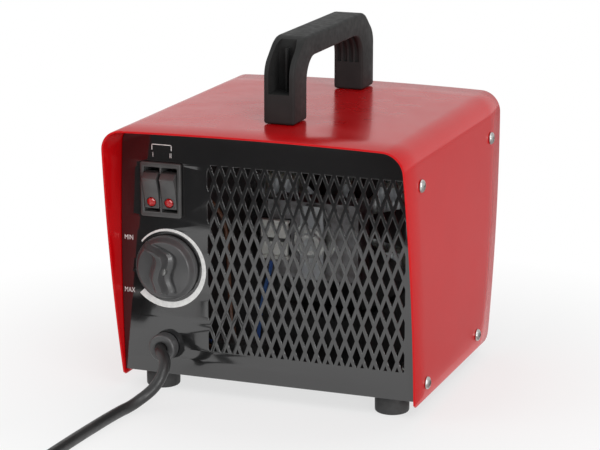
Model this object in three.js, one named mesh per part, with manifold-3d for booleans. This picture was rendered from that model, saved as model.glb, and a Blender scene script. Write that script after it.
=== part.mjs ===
// Ceramic fan heater: a folded steel hood over a black chassis, with a carrying handle on top.
// Millimetres, +Z up. The inlet panel with its controls faces -Y, the warm air leaves towards +Y.
// The origin is on the floor, under the middle of the casing.
import * as THREE from 'three';
import { mergeGeometries, mergeVertices } from 'three/addons/utils/BufferGeometryUtils.js';
import Module from 'manifold-3d';

const wasm = await Module();
wasm.setup();

// ---- Driving sizes ----
const FIT = 0.3; // clearance between pieces that seat on or run in each other

const HOOD_WIDTH = 180; // across the side walls at their foot, outside
const HOOD_HEIGHT = 152; // side walls, foot to crown line
const HOOD_TOP_DEPTH = 192; // back to front along the top
const REAR_RAKE = 26; // the top overhangs the foot by this at the back
const FRONT_RAKE = 20;
const HOOD_SHEET = 1.2;
const BEND_RADIUS = 13;
const SIDE_BOW = 1.4; // outward bow of the side walls
const TOP_CROWN = 1.2;
const TIP_RADIUS = 2.5; // lower corner of a side wall at the back
const TOE_RADIUS = 7; // and at the front
const HOOD_CLEARANCE = 8; // floor to the foot of the hood

const PANEL_SHEET = 1;
const PANEL_SETBACK = 1; // panel faces stand inside the foot of the hood by this
const PANEL_LIFT = 3.6; // lower edge of the panels above the foot of the hood
const RIM_DEPTH = 9; // turned-in rim of each panel
const PAN_FLANGE = 14; // turned-up sides of the base pan
const PAN_LIP = 8; // its turned-up front and back

const SCREW_RADIUS = 1.9;
const SCREW_LENGTH = 8;
const SCREW_HEAD_RADIUS = 3.7;
const SCREW_HEAD_HEIGHT = 2.2;
const UPPER_SCREW_INSET = 3.3; // behind the panel faces
const UPPER_SCREW_HEIGHT = 127.5; // above the foot of the hood
const LOWER_SCREW_SPREAD = 100.6; // between the two lower screws of a side
const LOWER_SCREW_HEIGHT = 9.6;

const FOOT_RADIUS = 10;
const FOOT_INSET = 14.9; // behind the panel faces
const FOOT_SPREAD = 142.4; // between left and right feet
const FOOT_BORE = 5;
const FOOT_RECESS = 4;

const HANDLE_REAR_MARGIN = 41; // from the back edge of the hood's top to the handle
const HANDLE_FRONT_MARGIN = 13;
const HANDLE_HEIGHT = 47.5;
const HANDLE_WIDTH = 18.6;
const HANDLE_LEG = 21; // leg thickness along the handle
const HANDLE_REACH = 35; // free height under the grip
const HANDLE_X = 2.5;
const HANDLE_WALL = 3; // walls beside the pocket in each leg
const POCKET_FLOOR = 17;

const MESH_LEFT = -35.8;
const MESH_PITCH = 6.9; // across
const MESH_RISE = 19.1; // one full diamond, upwards
const MESH_COLUMNS = 17;
const MESH_MARGIN = 0.7; // plain strip beside the outer half columns
const MESH_BOTTOM = 28.1;
const MESH_TOP = 137.9;
const MESH_FIRST_ROW = 1.05; // centre of the first cut row above the top edge of the field
const DIAMOND_WIDTH = 4.7;
const DIAMOND_HEIGHT = 12.8;

const SLOT_ROWS = 12;
const SLOT_PITCH = 8;
const SLOT_HEIGHT = 5;
const SLOT_WIDTH = 68;
const SLOT_GAP = 8; // between the two banks of slots
const SLOT_CENTRE = 84;

const SWITCH_X = -63.7;
const SWITCH_Z = 121.8;
const BEZEL_WIDTH = 25;
const BEZEL_HEIGHT = 32;
const BEZEL_THICKNESS = 2.4;
const SWITCH_BODY_WIDTH = 22;
const SWITCH_BODY_HEIGHT = 28;
const SWITCH_BODY_DEPTH = 20;
const ROCKER_SPACING = 10.9;
const ROCKER_WIDTH = 9;
const WELL_HEIGHT = 26;
const WELL_DEPTH = 13;
const ROCKER_PIVOT_DEPTH = 5.8; // behind the front of the bezel
const ROCKER_TILT = 13; // degrees each side of level
const LENS_RADIUS = 2.7;
const LENS_THICKNESS = 1.4;

const KNOB_X = -60.5;
const KNOB_Z = 76.2;
const KNOB_RADIUS = 19;
const KNOB_HEIGHT = 16;
const KNOB_GAP = 0.8; // between the skirt and the panel
const SPINDLE_RADIUS = 3;
const SPINDLE_LENGTH = 11; // in front of the panel
const THERMOSTAT_SIZE = 30;
const THERMOSTAT_DEPTH = 17;

const CORD_RADIUS = 3.3;
const GLAND_X = -62.7;
const GLAND_Z = 28.5;
const GLAND_RADIUS = 8.25;
const GLAND_HEAD = 7;
const GLAND_NECK = 5.6;
const GLAND_TAIL = 15;

const COIL_X = -118;
const COIL_BEHIND = 208; // centre of the coil behind the inlet panel's face
const COIL_MEAN_RADIUS = 37.5;
const COIL_BUNDLE_WIDTH = 20.2; // three turns side by side
const COIL_BUNDLE_HEIGHT = 13.3; // two turns high

const PLUG_X = -158;
const PLUG_RADIUS = 18.5;
const PLUG_LENGTH = 62;
const PLUG_COLLAR = 44; // from the end of its boot to its collar
const PLUG_BOOT_RADIUS = 4.6;
const PIN_RADIUS = 2.4;
const PIN_LENGTH = 19;
const PIN_SPACING = 19;

const FAN_X = 12;
const FAN_Z = 86.6;
const FAN_RADIUS = 54;
const FAN_HUB_RADIUS = 15;
const FAN_DEPTH = 18;
const FAN_BLADES = 6;
const FAN_TIP_GAP = 3;
const SHROUD_GAP = 34; // from the fan's shroud to the heating element
const SHROUD_SHEET = 2;
const SHROUD_RING_DEPTH = 22;
const MOTOR_REACH = 43; // from the shroud back to the rear end of the motor's bearing cap
const CORE_LENGTH = 20;
const ROTOR_RADIUS = 13;
const SHAFT_RADIUS = 2;
const COIL_BOX_WIDTH = 18;
const COIL_BOX_HEIGHT = 23.4;

const HEATER_BEHIND = 29; // behind the face of the outlet panel
const HEATER_WIDTH = 136;
const HEATER_HEIGHT = 84;
const HEATER_DEPTH = 15;
const HEATER_ROWS = 4;
const HEATER_BAR = 2.5;
const HEATER_COLLAR = 17;

const WIRE_RADIUS = 1.2;

// ---- Places that follow from them ----
const HALF_WIDTH = HOOD_WIDTH / 2;
const HOOD_FOOT = HOOD_CLEARANCE;
const SPRINGING = HOOD_FOOT + HOOD_HEIGHT - BEND_RADIUS; // where the side walls end and the bends start
const HOOD_TOP = HOOD_FOOT + HOOD_HEIGHT + TOP_CROWN;
const REAR_TOP = -HOOD_TOP_DEPTH / 2;
const FRONT_TOP = HOOD_TOP_DEPTH / 2;
const REAR_FACE = REAR_TOP + REAR_RAKE + PANEL_SETBACK; // outer face of the inlet panel
const FRONT_FACE = FRONT_TOP - FRONT_RAKE - PANEL_SETBACK;
const CHASSIS_INSET = HOOD_SHEET + FIT; // from the outside of the hood to what sits inside it
const CHASSIS_BOTTOM = HOOD_FOOT + PANEL_LIFT;
const BASE_TOP = CHASSIS_BOTTOM + PANEL_SHEET;
const PAN_HALF_WIDTH = HALF_WIDTH - CHASSIS_INSET;
const SCREW_HOLE = SCREW_RADIUS + FIT;
const SWITCH_FRONT = REAR_FACE - FIT - BEZEL_THICKNESS;
const PIVOT_Y = SWITCH_FRONT + ROCKER_PIVOT_DEPTH;
const INSIDE_REAR = REAR_FACE + PANEL_SHEET; // inner face of the inlet panel
const HANDLE_SEAT = HOOD_TOP + FIT;
const HANDLE_LENGTH = HOOD_TOP_DEPTH - HANDLE_REAR_MARGIN - HANDLE_FRONT_MARGIN;
const HANDLE_Y = (HANDLE_REAR_MARGIN - HANDLE_FRONT_MARGIN) / 2;
const HEATER_Y = FRONT_FACE - HEATER_BEHIND;
const SHROUD_Y = HEATER_Y - SHROUD_GAP;
const MOTOR_TAIL_Y = SHROUD_Y - MOTOR_REACH;
const CORE_REAR = MOTOR_TAIL_Y + 9;
const CORE_FRONT = CORE_REAR + CORE_LENGTH;
const FAN_START = SHROUD_Y + SHROUD_SHEET + FIT + 1;
const COIL_Y = REAR_FACE - COIL_BEHIND;
const PLUG_Y = COIL_Y + 47.7;

// ---- Finishes ----
const finish = (color, roughness, metalness = 0) =>
  new THREE.MeshStandardMaterial({ color, roughness, metalness });
const redPaint = finish(0xb8080c, 0.25);
const blackPaint = finish(0x17171a, 0.15);
const blackPlastic = finish(0x2b2c2e, 0.55);
const darkPlastic = finish(0x3a3b3d, 0.4);
const rubber = finish(0x202022, 0.8);
const steel = finish(0xb9bcc0, 0.3, 1);
const zinc = finish(0x9da2a6, 0.4, 1);
const aluminium = finish(0xc9ccd0, 0.4, 1);
const redLens = finish(0xc01818, 0.1);
const paleCeramic = finish(0xe2ddd2, 0.7);
const blueWire = finish(0x2a4d94, 0.5);
const brownWire = finish(0x6b3d22, 0.5);

// ---- Solids ----
// A closed geometry as a solid that can be cut and joined.
function solidOf(geometry) {
  const bare = geometry.clone();
  bare.deleteAttribute('normal');
  bare.deleteAttribute('uv');
  const merged = mergeVertices(bare, 1e-4);
  const source = merged.index.array;
  const corners = [];
  for (let i = 0; i < source.length; i += 3) {
    const [a, b, c] = [source[i], source[i + 1], source[i + 2]];
    if (a !== b && b !== c && c !== a) corners.push(a, b, c);
  }
  return new wasm.Manifold(new wasm.Mesh({
    numProp: 3,
    vertProperties: new Float32Array(merged.attributes.position.array),
    triVerts: new Uint32Array(corners),
  }));
}

function geometryOf(solid) {
  const mesh = solid.getMesh();
  const geometry = new THREE.BufferGeometry();
  geometry.setAttribute('position', new THREE.BufferAttribute(mesh.vertProperties, 3));
  geometry.setIndex(new THREE.BufferAttribute(mesh.triVerts, 1));
  geometry.computeVertexNormals();
  return geometry;
}

const cut = (body, ...tools) =>
  geometryOf(tools.reduce((solid, tool) => solid.subtract(solidOf(tool)), solidOf(body)));
const join = (body, ...others) =>
  geometryOf(others.reduce((solid, other) => solid.add(solidOf(other)), solidOf(body)));
const overlapOf = (body, other) => geometryOf(solidOf(body).intersect(solidOf(other)));

const axis = (x, y, z) => new THREE.Vector3(x, y, z);
const ACROSS_X = new THREE.Matrix4().makeBasis(axis(0, 1, 0), axis(0, 0, 1), axis(1, 0, 0));
const ACROSS_Y = new THREE.Matrix4().makeBasis(axis(1, 0, 0), axis(0, 0, 1), axis(0, -1, 0));

function extrusion(outline, depth, holes = []) {
  const shape = new THREE.Shape(outline);
  shape.holes = holes.map((hole) => new THREE.Path(hole));
  return new THREE.ExtrudeGeometry(shape, { depth, bevelEnabled: false });
}

// Prisms of an outline in (y, z), (x, z) or (x, y), between two planes of the third axis.
const prismX = (outline, from, to, holes) =>
  extrusion(outline, to - from, holes).applyMatrix4(ACROSS_X).translate(from, 0, 0);
const prismY = (outline, from, to, holes) =>
  extrusion(outline, to - from, holes).applyMatrix4(ACROSS_Y).translate(0, to, 0);

const box = (x0, x1, y0, y1, z0, z1) =>
  new THREE.BoxGeometry(x1 - x0, y1 - y0, z1 - z0)
    .translate((x0 + x1) / 2, (y0 + y1) / 2, (z0 + z1) / 2);

const rodX = (y, z, radius, x0, x1, sides = 16) =>
  new THREE.CylinderGeometry(radius, radius, x1 - x0, sides)
    .rotateZ(Math.PI / 2).translate((x0 + x1) / 2, y, z);
const rodY = (x, z, radius, y0, y1, sides = 16) =>
  new THREE.CylinderGeometry(radius, radius, y1 - y0, sides).translate(x, (y0 + y1) / 2, z);
const rodZ = (x, y, radius, z0, z1, sides = 16) =>
  new THREE.CylinderGeometry(radius, radius, z1 - z0, sides)
    .rotateX(Math.PI / 2).translate(x, y, (z0 + z1) / 2);

// A profile of [radius, height] points, turned about the Y axis.
const turned = (profile, sides) =>
  new THREE.LatheGeometry(profile.map(([r, h]) => new THREE.Vector2(r, h)), sides);

// Closed outline through corners [u, v, radius], each rounded by its own radius.
function rounded(corners, steps = 5) {
  const outline = [];
  corners.forEach(([u, v, radius = 0], i) => {
    const corner = new THREE.Vector2(u, v);
    if (radius === 0) {
      outline.push(corner);
      return;
    }
    const previous = corners.at(i - 1);
    const next = corners[(i + 1) % corners.length];
    const back = new THREE.Vector2(previous[0], previous[1]).sub(corner).normalize();
    const ahead = new THREE.Vector2(next[0], next[1]).sub(corner).normalize();
    const half = back.angleTo(ahead) / 2;
    const middle = back.clone().add(ahead).normalize();
    const centre = corner.clone().addScaledVector(middle, radius / Math.sin(half));
    const reach = radius / Math.tan(half);
    const start = corner.clone().addScaledVector(back, reach).sub(centre).angle();
    const end = corner.clone().addScaledVector(ahead, reach).sub(centre).angle();
    const sweep = Math.atan2(Math.sin(end - start), Math.cos(end - start));
    for (let k = 0; k <= steps; k++) {
      const angle = start + (sweep * k) / steps;
      outline.push(new THREE.Vector2(Math.cos(angle), Math.sin(angle)).multiplyScalar(radius).add(centre));
    }
  });
  return outline;
}

const roundedBox = (u0, u1, v0, v1, radius, steps = 3) =>
  rounded([[u0, v0, radius], [u1, v0, radius], [u1, v1, radius], [u0, v1, radius]], steps);

// A round tube along a smooth curve through points.
function tube(points, radius, sides, steps) {
  const section = new THREE.Shape();
  for (let i = 0; i < sides; i++) {
    const angle = (2 * Math.PI * i) / sides;
    const corner = [radius * Math.cos(angle), radius * Math.sin(angle)];
    if (i === 0) section.moveTo(...corner);
    else section.lineTo(...corner);
  }
  section.closePath();
  const curve = new THREE.CatmullRomCurve3(points.map((p) => axis(...p)), false, 'centripetal');
  return new THREE.ExtrudeGeometry(section, { steps, extrudePath: curve, bevelEnabled: false });
}

const heater = new THREE.Group();

function place(name, geometry, material, x = 0, y = 0, z = 0) {
  const mesh = new THREE.Mesh(geometry, material);
  mesh.name = name;
  mesh.position.set(x, y, z);
  heater.add(mesh);
  return mesh;
}

// ---- Hood ----
const bulge = (share, height) => 4 * height * share * (1 - share);
const wallX = (z) =>
  HALF_WIDTH + bulge((z - HOOD_FOOT) / (SPRINGING - HOOD_FOOT), SIDE_BOW);

// The hood's section seen from the back, moved inwards: up the right wall, over the top, down the left.
function hoodLine(inset, bottom) {
  const wallSteps = 6;
  const bendSteps = 5;
  const topSteps = 6;
  const right = [];
  for (let i = 0; i <= wallSteps; i++) {
    const z = bottom + ((SPRINGING - bottom) * i) / wallSteps;
    right.push([wallX(z) - inset, z]);
  }
  for (let i = 1; i <= bendSteps; i++) {
    const angle = (Math.PI / 2) * (i / bendSteps);
    const radius = BEND_RADIUS - inset;
    right.push([HALF_WIDTH - BEND_RADIUS + radius * Math.cos(angle), SPRINGING + radius * Math.sin(angle)]);
  }
  const top = [];
  for (let i = 1; i < topSteps; i++) {
    const share = i / topSteps;
    const x = (HALF_WIDTH - BEND_RADIUS) * (1 - 2 * share);
    top.push([x, SPRINGING + BEND_RADIUS - inset + bulge(share, TOP_CROWN)]);
  }
  const left = right.map(([x, z]) => [-x, z]).reverse();
  return [...right, ...top, ...left].map(([x, z]) => new THREE.Vector2(x, z));
}

const hoodBand = (outerInset, innerInset, bottom, y0, y1) =>
  prismY([...hoodLine(outerInset, bottom), ...hoodLine(innerInset, bottom).reverse()], y0, y1);

const wallScrews = [-1, 1].flatMap((side) => [
  { side, y: REAR_FACE + UPPER_SCREW_INSET, z: HOOD_FOOT + UPPER_SCREW_HEIGHT },
  { side, y: FRONT_FACE - UPPER_SCREW_INSET, z: HOOD_FOOT + UPPER_SCREW_HEIGHT },
  { side, y: -LOWER_SCREW_SPREAD / 2, z: HOOD_FOOT + LOWER_SCREW_HEIGHT },
  { side, y: LOWER_SCREW_SPREAD / 2, z: HOOD_FOOT + LOWER_SCREW_HEIGHT },
]);
// The rear one is in the middle of its leg, the front one just outside the outlet panel.
const handleScrewsY = [
  HANDLE_Y - (HANDLE_LENGTH - HANDLE_LEG) / 2, FRONT_FACE + SCREW_HEAD_RADIUS + 2 * FIT,
];

const wallHoles = () =>
  wallScrews.map(({ side, y, z }) =>
    rodX(y, z, SCREW_HOLE, side * HALF_WIDTH - 8, side * HALF_WIDTH + 8, 12));

function makeHood() {
  const crest = HOOD_FOOT + HOOD_HEIGHT;
  const side = rounded([
    [REAR_TOP + REAR_RAKE, HOOD_FOOT, TIP_RADIUS],
    [FRONT_TOP - FRONT_RAKE, HOOD_FOOT, TOE_RADIUS],
    [FRONT_TOP, crest],
    [FRONT_TOP, HOOD_TOP + 1],
    [REAR_TOP, HOOD_TOP + 1],
    [REAR_TOP, crest],
  ]);
  const band = hoodBand(0, HOOD_SHEET, HOOD_FOOT, REAR_TOP, FRONT_TOP);
  const raked = overlapOf(band, prismX(side, -HOOD_WIDTH, HOOD_WIDTH));
  const handleHoles = handleScrewsY.map((y) => rodZ(HANDLE_X, y, SCREW_HOLE, SPRINGING, HOOD_TOP + 5, 12));
  return cut(raked, ...wallHoles(), ...handleHoles);
}
place('hood', makeHood(), redPaint);

// ---- Inlet and outlet panels, base pan ----
// A plate that fills the hood's section, with a rim turned into the casing.
function panelBlank(face, inward) {
  const back = face + inward * PANEL_SHEET;
  const rim = face + inward * RIM_DEPTH;
  const span = (a, b) => [Math.min(a, b), Math.max(a, b)];
  const plate = prismY(hoodLine(CHASSIS_INSET, CHASSIS_BOTTOM), ...span(face, back));
  const band = hoodBand(CHASSIS_INSET, CHASSIS_INSET + PANEL_SHEET, CHASSIS_BOTTOM, ...span(face, rim));
  return join(plate, band);
}

function diamond(x, z) {
  const w = DIAMOND_WIDTH / 2;
  const h = DIAMOND_HEIGHT / 2;
  const corners = [[w, 0], [0, h], [-w, 0], [0, -h]];
  const outline = corners.map(([u, v]) => new THREE.Vector2(x + u, z + v));
  return prismY(outline, REAR_FACE - 1, INSIDE_REAR + 1);
}

// The stretched mesh of the inlet: two sets of diamonds, half a pitch and half a rise apart,
// trimmed to a rectangle.
function meshOpenings() {
  const right = MESH_LEFT + MESH_COLUMNS * MESH_PITCH + 2 * MESH_MARGIN;
  const diamonds = [];
  for (let column = 0; column <= 2 * MESH_COLUMNS; column++) {
    const x = MESH_LEFT + MESH_MARGIN + (column * MESH_PITCH) / 2;
    const drop = column % 2 === 1 ? -MESH_FIRST_ROW : MESH_RISE / 2 - MESH_FIRST_ROW;
    for (let z = MESH_TOP - drop; z > MESH_BOTTOM - DIAMOND_HEIGHT / 2; z -= MESH_RISE) {
      diamonds.push(diamond(x, z));
    }
  }
  const field = box(MESH_LEFT, right, REAR_FACE - 2, INSIDE_REAR + 2, MESH_BOTTOM, MESH_TOP);
  return overlapOf(mergeGeometries(diamonds), field);
}

function makeInletPanel() {
  const wide = SWITCH_BODY_WIDTH / 2 + FIT;
  const high = SWITCH_BODY_HEIGHT / 2 + FIT;
  const through = [REAR_FACE - 1, INSIDE_REAR + 1];
  return cut(
    panelBlank(REAR_FACE, 1),
    meshOpenings(),
    box(SWITCH_X - wide, SWITCH_X + wide, ...through, SWITCH_Z - high, SWITCH_Z + high),
    rodY(KNOB_X, KNOB_Z, SPINDLE_RADIUS + 1, ...through),
    rodY(GLAND_X, GLAND_Z, GLAND_NECK + FIT, ...through, 24),
    ...wallHoles(),
  );
}
place('inlet_panel', makeInletPanel(), blackPaint);

function makeOutletPanel() {
  const slots = [];
  const lowest = SLOT_CENTRE - ((SLOT_ROWS - 1) * SLOT_PITCH) / 2;
  for (let row = 0; row < SLOT_ROWS; row++) {
    const z = lowest + row * SLOT_PITCH;
    for (const side of [-1, 1]) {
      const centre = (side * (SLOT_WIDTH + SLOT_GAP)) / 2;
      const outline = roundedBox(
        centre - SLOT_WIDTH / 2, centre + SLOT_WIDTH / 2, z - SLOT_HEIGHT / 2, z + SLOT_HEIGHT / 2, 1.2, 1);
      slots.push(prismY(outline, FRONT_FACE - PANEL_SHEET - 1, FRONT_FACE + 1));
    }
  }
  return cut(panelBlank(FRONT_FACE, -1), mergeGeometries(slots), ...wallHoles());
}
place('outlet_panel', makeOutletPanel(), blackPaint);

const feet = [
  ['rear_left', -1, REAR_FACE + FOOT_INSET], ['rear_right', 1, REAR_FACE + FOOT_INSET],
  ['front_left', -1, FRONT_FACE - FOOT_INSET], ['front_right', 1, FRONT_FACE - FOOT_INSET],
].map(([corner, side, y]) => ({ corner, x: (side * FOOT_SPREAD) / 2, y }));

const EARTH_X = 73;
const EARTH_Y = REAR_FACE + 32;

function makeBasePan() {
  const w = PAN_HALF_WIDTH;
  const back = INSIDE_REAR + FIT;
  const front = FRONT_FACE - PANEL_SHEET - FIT;
  const behindRim = REAR_FACE + RIM_DEPTH + FIT;
  const beforeRim = FRONT_FACE - RIM_DEPTH - FIT;
  const rimClear = w - PANEL_SHEET - FIT;
  const lipHalf = rimClear - 6;
  const pan = join(
    box(-rimClear, rimClear, back, front, CHASSIS_BOTTOM, BASE_TOP),
    box(-w, w, behindRim, beforeRim, CHASSIS_BOTTOM, BASE_TOP),
    box(-w, PANEL_SHEET - w, behindRim, beforeRim, CHASSIS_BOTTOM, CHASSIS_BOTTOM + PAN_FLANGE),
    box(w - PANEL_SHEET, w, behindRim, beforeRim, CHASSIS_BOTTOM, CHASSIS_BOTTOM + PAN_FLANGE),
    box(-lipHalf, lipHalf, back, back + PANEL_SHEET, CHASSIS_BOTTOM, CHASSIS_BOTTOM + PAN_LIP),
    box(-lipHalf, lipHalf, front - PANEL_SHEET, front, CHASSIS_BOTTOM, CHASSIS_BOTTOM + PAN_LIP),
  );
  const footHoles = feet.map(({ x, y }) => rodZ(x, y, SCREW_HOLE, 0, BASE_TOP + 5, 12));
  const earthHole = rodZ(EARTH_X, EARTH_Y, SCREW_HOLE, 0, BASE_TOP + 5, 12);
  return cut(pan, ...footHoles, earthHole, ...wallHoles());
}
place('base_pan', makeBasePan(), zinc);

// ---- Screws ----
// A pan-head screw with its head towards +Y and its seat at the origin.
const screwProfile = (length) => [
  [0, -length], [SCREW_RADIUS, -length], [SCREW_RADIUS, 0], [SCREW_HEAD_RADIUS, 0],
  [SCREW_HEAD_RADIUS, SCREW_HEAD_HEIGHT * 0.5], [SCREW_HEAD_RADIUS * 0.6, SCREW_HEAD_HEIGHT],
  [0, SCREW_HEAD_HEIGHT],
];
const screw = (length) => geometryOf(solidOf(turned(screwProfile(length), 10)));

function makeWallScrews() {
  const names = ['rear_upper', 'front_upper', 'rear_lower', 'front_lower'];
  const geometry = screw(SCREW_LENGTH);
  wallScrews.forEach(({ side, y, z }, i) => {
    const seat = wallX(z) + FIT;
    const where = side > 0 ? 'right' : 'left';
    const mesh = place(`screw_${where}_${names[i % 4]}`, geometry, steel, side * seat, y, z);
    mesh.rotation.z = (-side * Math.PI) / 2;
  });
}
makeWallScrews();

// ---- Feet ----
function makeFeet() {
  const top = CHASSIS_BOTTOM - FIT;
  const foot = geometryOf(solidOf(turned([
    [SCREW_HOLE, FOOT_RECESS], [FOOT_BORE, FOOT_RECESS], [FOOT_BORE, 0], [FOOT_RADIUS - 1.5, 0],
    [FOOT_RADIUS - 0.4, 1.2], [FOOT_RADIUS, top], [SCREW_HOLE, top], [SCREW_HOLE, FOOT_RECESS],
  ], 16)));
  const footScrew = screw(BASE_TOP + 3 - FOOT_RECESS);
  for (const { corner, x, y } of feet) {
    place(`foot_${corner}`, foot, rubber, x, y, 0).rotation.x = Math.PI / 2;
    place(`foot_screw_${corner}`, footScrew, steel, x, y, FOOT_RECESS - FIT).rotation.x = -Math.PI / 2;
  }
}
makeFeet();

// ---- Handle ----
function makeHandle() {
  const end = HANDLE_LENGTH / 2;
  const inner = end - HANDLE_LEG;
  const shoulder = 17;
  const arch = rounded([
    [-end, 0], [-inner, 0], [-inner, HANDLE_REACH, 14], [inner, HANDLE_REACH, 14], [inner, 0], [end, 0],
    [end, HANDLE_HEIGHT - 14.5, 14], [end - shoulder, HANDLE_HEIGHT, 18],
    [shoulder - end, HANDLE_HEIGHT, 18], [-end, HANDLE_HEIGHT - 14.5, 14],
  ]);
  const pocketHalf = HANDLE_WIDTH / 2 - HANDLE_WALL;
  const pocket = (side) => prismX([
    [-end - 1, POCKET_FLOOR], [12 - end, POCKET_FLOOR], [15 - end, 28], [22 - end, 41],
    [29 - end, HANDLE_HEIGHT + 1], [-end - 1, HANDLE_HEIGHT + 1],
  ].map(([y, z]) => new THREE.Vector2(side * y, z)), -pocketHalf, pocketHalf);
  const screwHoles = handleScrewsY.map((y) => rodZ(0, y - HANDLE_Y, SCREW_HOLE, -1, 12, 12));
  return cut(prismX(arch, -HANDLE_WIDTH / 2, HANDLE_WIDTH / 2), pocket(1), pocket(-1), ...screwHoles);
}
place('handle', makeHandle(), blackPlastic, HANDLE_X, HANDLE_Y, HANDLE_SEAT);

const handleScrewSeat = SPRINGING + BEND_RADIUS - HOOD_SHEET + TOP_CROWN - FIT - 0.1;
const handleScrew = screw(11);
handleScrewsY.forEach((y, i) => {
  const name = `handle_screw_${i === 0 ? 'rear' : 'front'}`;
  const mesh = place(name, handleScrew, steel, HANDLE_X, y, handleScrewSeat);
  mesh.rotation.x = -Math.PI / 2;
});

// ---- Double rocker switch ----
function makeSwitchHousing() {
  const w = SWITCH_BODY_WIDTH / 2;
  const h = SWITCH_BODY_HEIGHT / 2;
  const back = SWITCH_FRONT + BEZEL_THICKNESS + SWITCH_BODY_DEPTH;
  const bezel = roundedBox(-BEZEL_WIDTH / 2, BEZEL_WIDTH / 2, -BEZEL_HEIGHT / 2, BEZEL_HEIGHT / 2, 1);
  const middles = [-ROCKER_SPACING / 2, ROCKER_SPACING / 2];
  const blades = middles.flatMap((x) => [-8, 0, 8].map((z) =>
    box(x - 2.4, x + 2.4, back - 1, back + 8, z - 0.4, z + 0.4)));
  const reach = ROCKER_WIDTH / 2 + FIT;
  const wells = middles.map((x) => box(
    x - reach, x + reach, SWITCH_FRONT - 1, SWITCH_FRONT + WELL_DEPTH, -WELL_HEIGHT / 2, WELL_HEIGHT / 2));
  const housing = join(
    prismY(bezel, SWITCH_FRONT, SWITCH_FRONT + BEZEL_THICKNESS),
    box(-w, w, SWITCH_FRONT + BEZEL_THICKNESS, back, -h, h),
    ...blades,
  );
  return cut(housing, ...wells);
}
place('switch_housing', makeSwitchHousing(), darkPlastic, SWITCH_X, 0, SWITCH_Z);

// Rocker about its pivot: two ridges near its ends, the lamp window in its lower half.
function makeRocker() {
  const half = (side) => [[-4.6, 11.5 * side], [-8.6, 9 * side]];
  const outline = [
    ...half(1), [-7.4, 0], ...half(-1).reverse(), [1, -10.5], [5.4, -4], [5.4, 4], [1, 10.5],
  ].map(([y, z]) => new THREE.Vector2(y, z));
  const window = rodY(0, -5.6, LENS_RADIUS + FIT, -10, -6.3);
  return cut(prismX(outline, -ROCKER_WIDTH / 2, ROCKER_WIDTH / 2), window);
}

function makeRockers() {
  const rocker = makeRocker();
  const lens = rodY(0, -5.6, LENS_RADIUS, -6.6 - LENS_THICKNESS - 0.9, -6.6, 12);
  for (const [name, side] of [['left', -1], ['right', 1]]) {
    const x = SWITCH_X + (side * ROCKER_SPACING) / 2;
    const tilt = (ROCKER_TILT * Math.PI) / 180;
    place(`rocker_${name}`, rocker, darkPlastic, x, PIVOT_Y, SWITCH_Z).rotation.x = tilt;
    place(`lens_${name}`, lens, redLens, x, PIVOT_Y, SWITCH_Z).rotation.x = tilt;
  }
}
makeRockers();

// ---- Thermostat and its knob ----
function makeKnob() {
  const back = -KNOB_GAP;
  const skirt = [
    [0, -back + 1], [KNOB_RADIUS - 2, -back + 1], [KNOB_RADIUS - 2, -back], [KNOB_RADIUS, -back],
    [KNOB_RADIUS, 3], [KNOB_RADIUS - 1.2, 4.4], [KNOB_RADIUS - 2.2, 7.2], [11, 9.2], [0, 9.8],
  ];
  const dome = turned(skirt, 28).rotateX(Math.PI);
  const grip = [];
  const steps = 8;
  for (const [side, order] of [[-1, 1], [1, -1]]) {
    for (let i = 0; i <= steps; i++) {
      const share = order > 0 ? i / steps : 1 - i / steps;
      const z = 15.5 * (2 * share - 1);
      const sway = -2.2 * Math.sin(Math.PI * (2 * share - 1));
      const width = 1.6 + 2.4 * Math.sqrt(Math.sin(Math.PI * share));
      grip.push(new THREE.Vector2(side * width + sway, z));
    }
  }
  const bar = prismY(grip, -KNOB_HEIGHT, -8);
  const bore = rodY(0, 0, SPINDLE_RADIUS + FIT, -SPINDLE_LENGTH - FIT, 0);
  return cut(join(dome, bar), bore);
}
const knob = place('knob', makeKnob(), darkPlastic, KNOB_X, REAR_FACE, KNOB_Z);
knob.rotation.y = (-10 * Math.PI) / 180;

const spindleRear = INSIDE_REAR + FIT + 6;
place('thermostat_spindle',
  rodY(KNOB_X, KNOB_Z, SPINDLE_RADIUS, REAR_FACE - SPINDLE_LENGTH, spindleRear), steel);

function makeThermostat() {
  const half = THERMOSTAT_SIZE / 2;
  const front = INSIDE_REAR + FIT;
  const rear = front + THERMOSTAT_DEPTH;
  const body = prismY(roundedBox(-half, half, -half, half, 4), front + 2.5, rear);
  const bush = rodY(0, 0, 6, front, front + 4, 20);
  const blades = [-9, 9].map((x) => box(x - 3, x + 3, rear - 1, rear + 7, -10.4, -9.6));
  const bore = rodY(0, 0, SPINDLE_RADIUS + FIT, front - 1, spindleRear + FIT);
  return cut(join(body, bush, ...blades), bore);
}
place('thermostat', makeThermostat(), paleCeramic, KNOB_X, 0, KNOB_Z);

// ---- Cord: gland, lead, coil of the spare length, plug ----
const glandFront = REAR_FACE - FIT - GLAND_HEAD;

function makeGland() {
  const bore = CORD_RADIUS + FIT;
  const seat = GLAND_HEAD; // heights run inwards from the front of the head
  const flat = seat + PANEL_SHEET + 2 * FIT;
  const profile = [
    [bore, 0], [GLAND_RADIUS - 1.8, 0], [GLAND_RADIUS - 0.6, 1], [GLAND_RADIUS, 3], [GLAND_RADIUS, seat],
    [GLAND_NECK, seat], [GLAND_NECK, flat], [GLAND_NECK + 1.4, flat], [GLAND_NECK + 0.4, flat + 3],
    [GLAND_NECK - 1, flat + GLAND_TAIL], [bore, flat + GLAND_TAIL], [bore, 0],
  ];
  return geometryOf(solidOf(turned(profile, 18)));
}
place('cord_gland', makeGland(), rubber, GLAND_X, glandFront, GLAND_Z);

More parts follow.
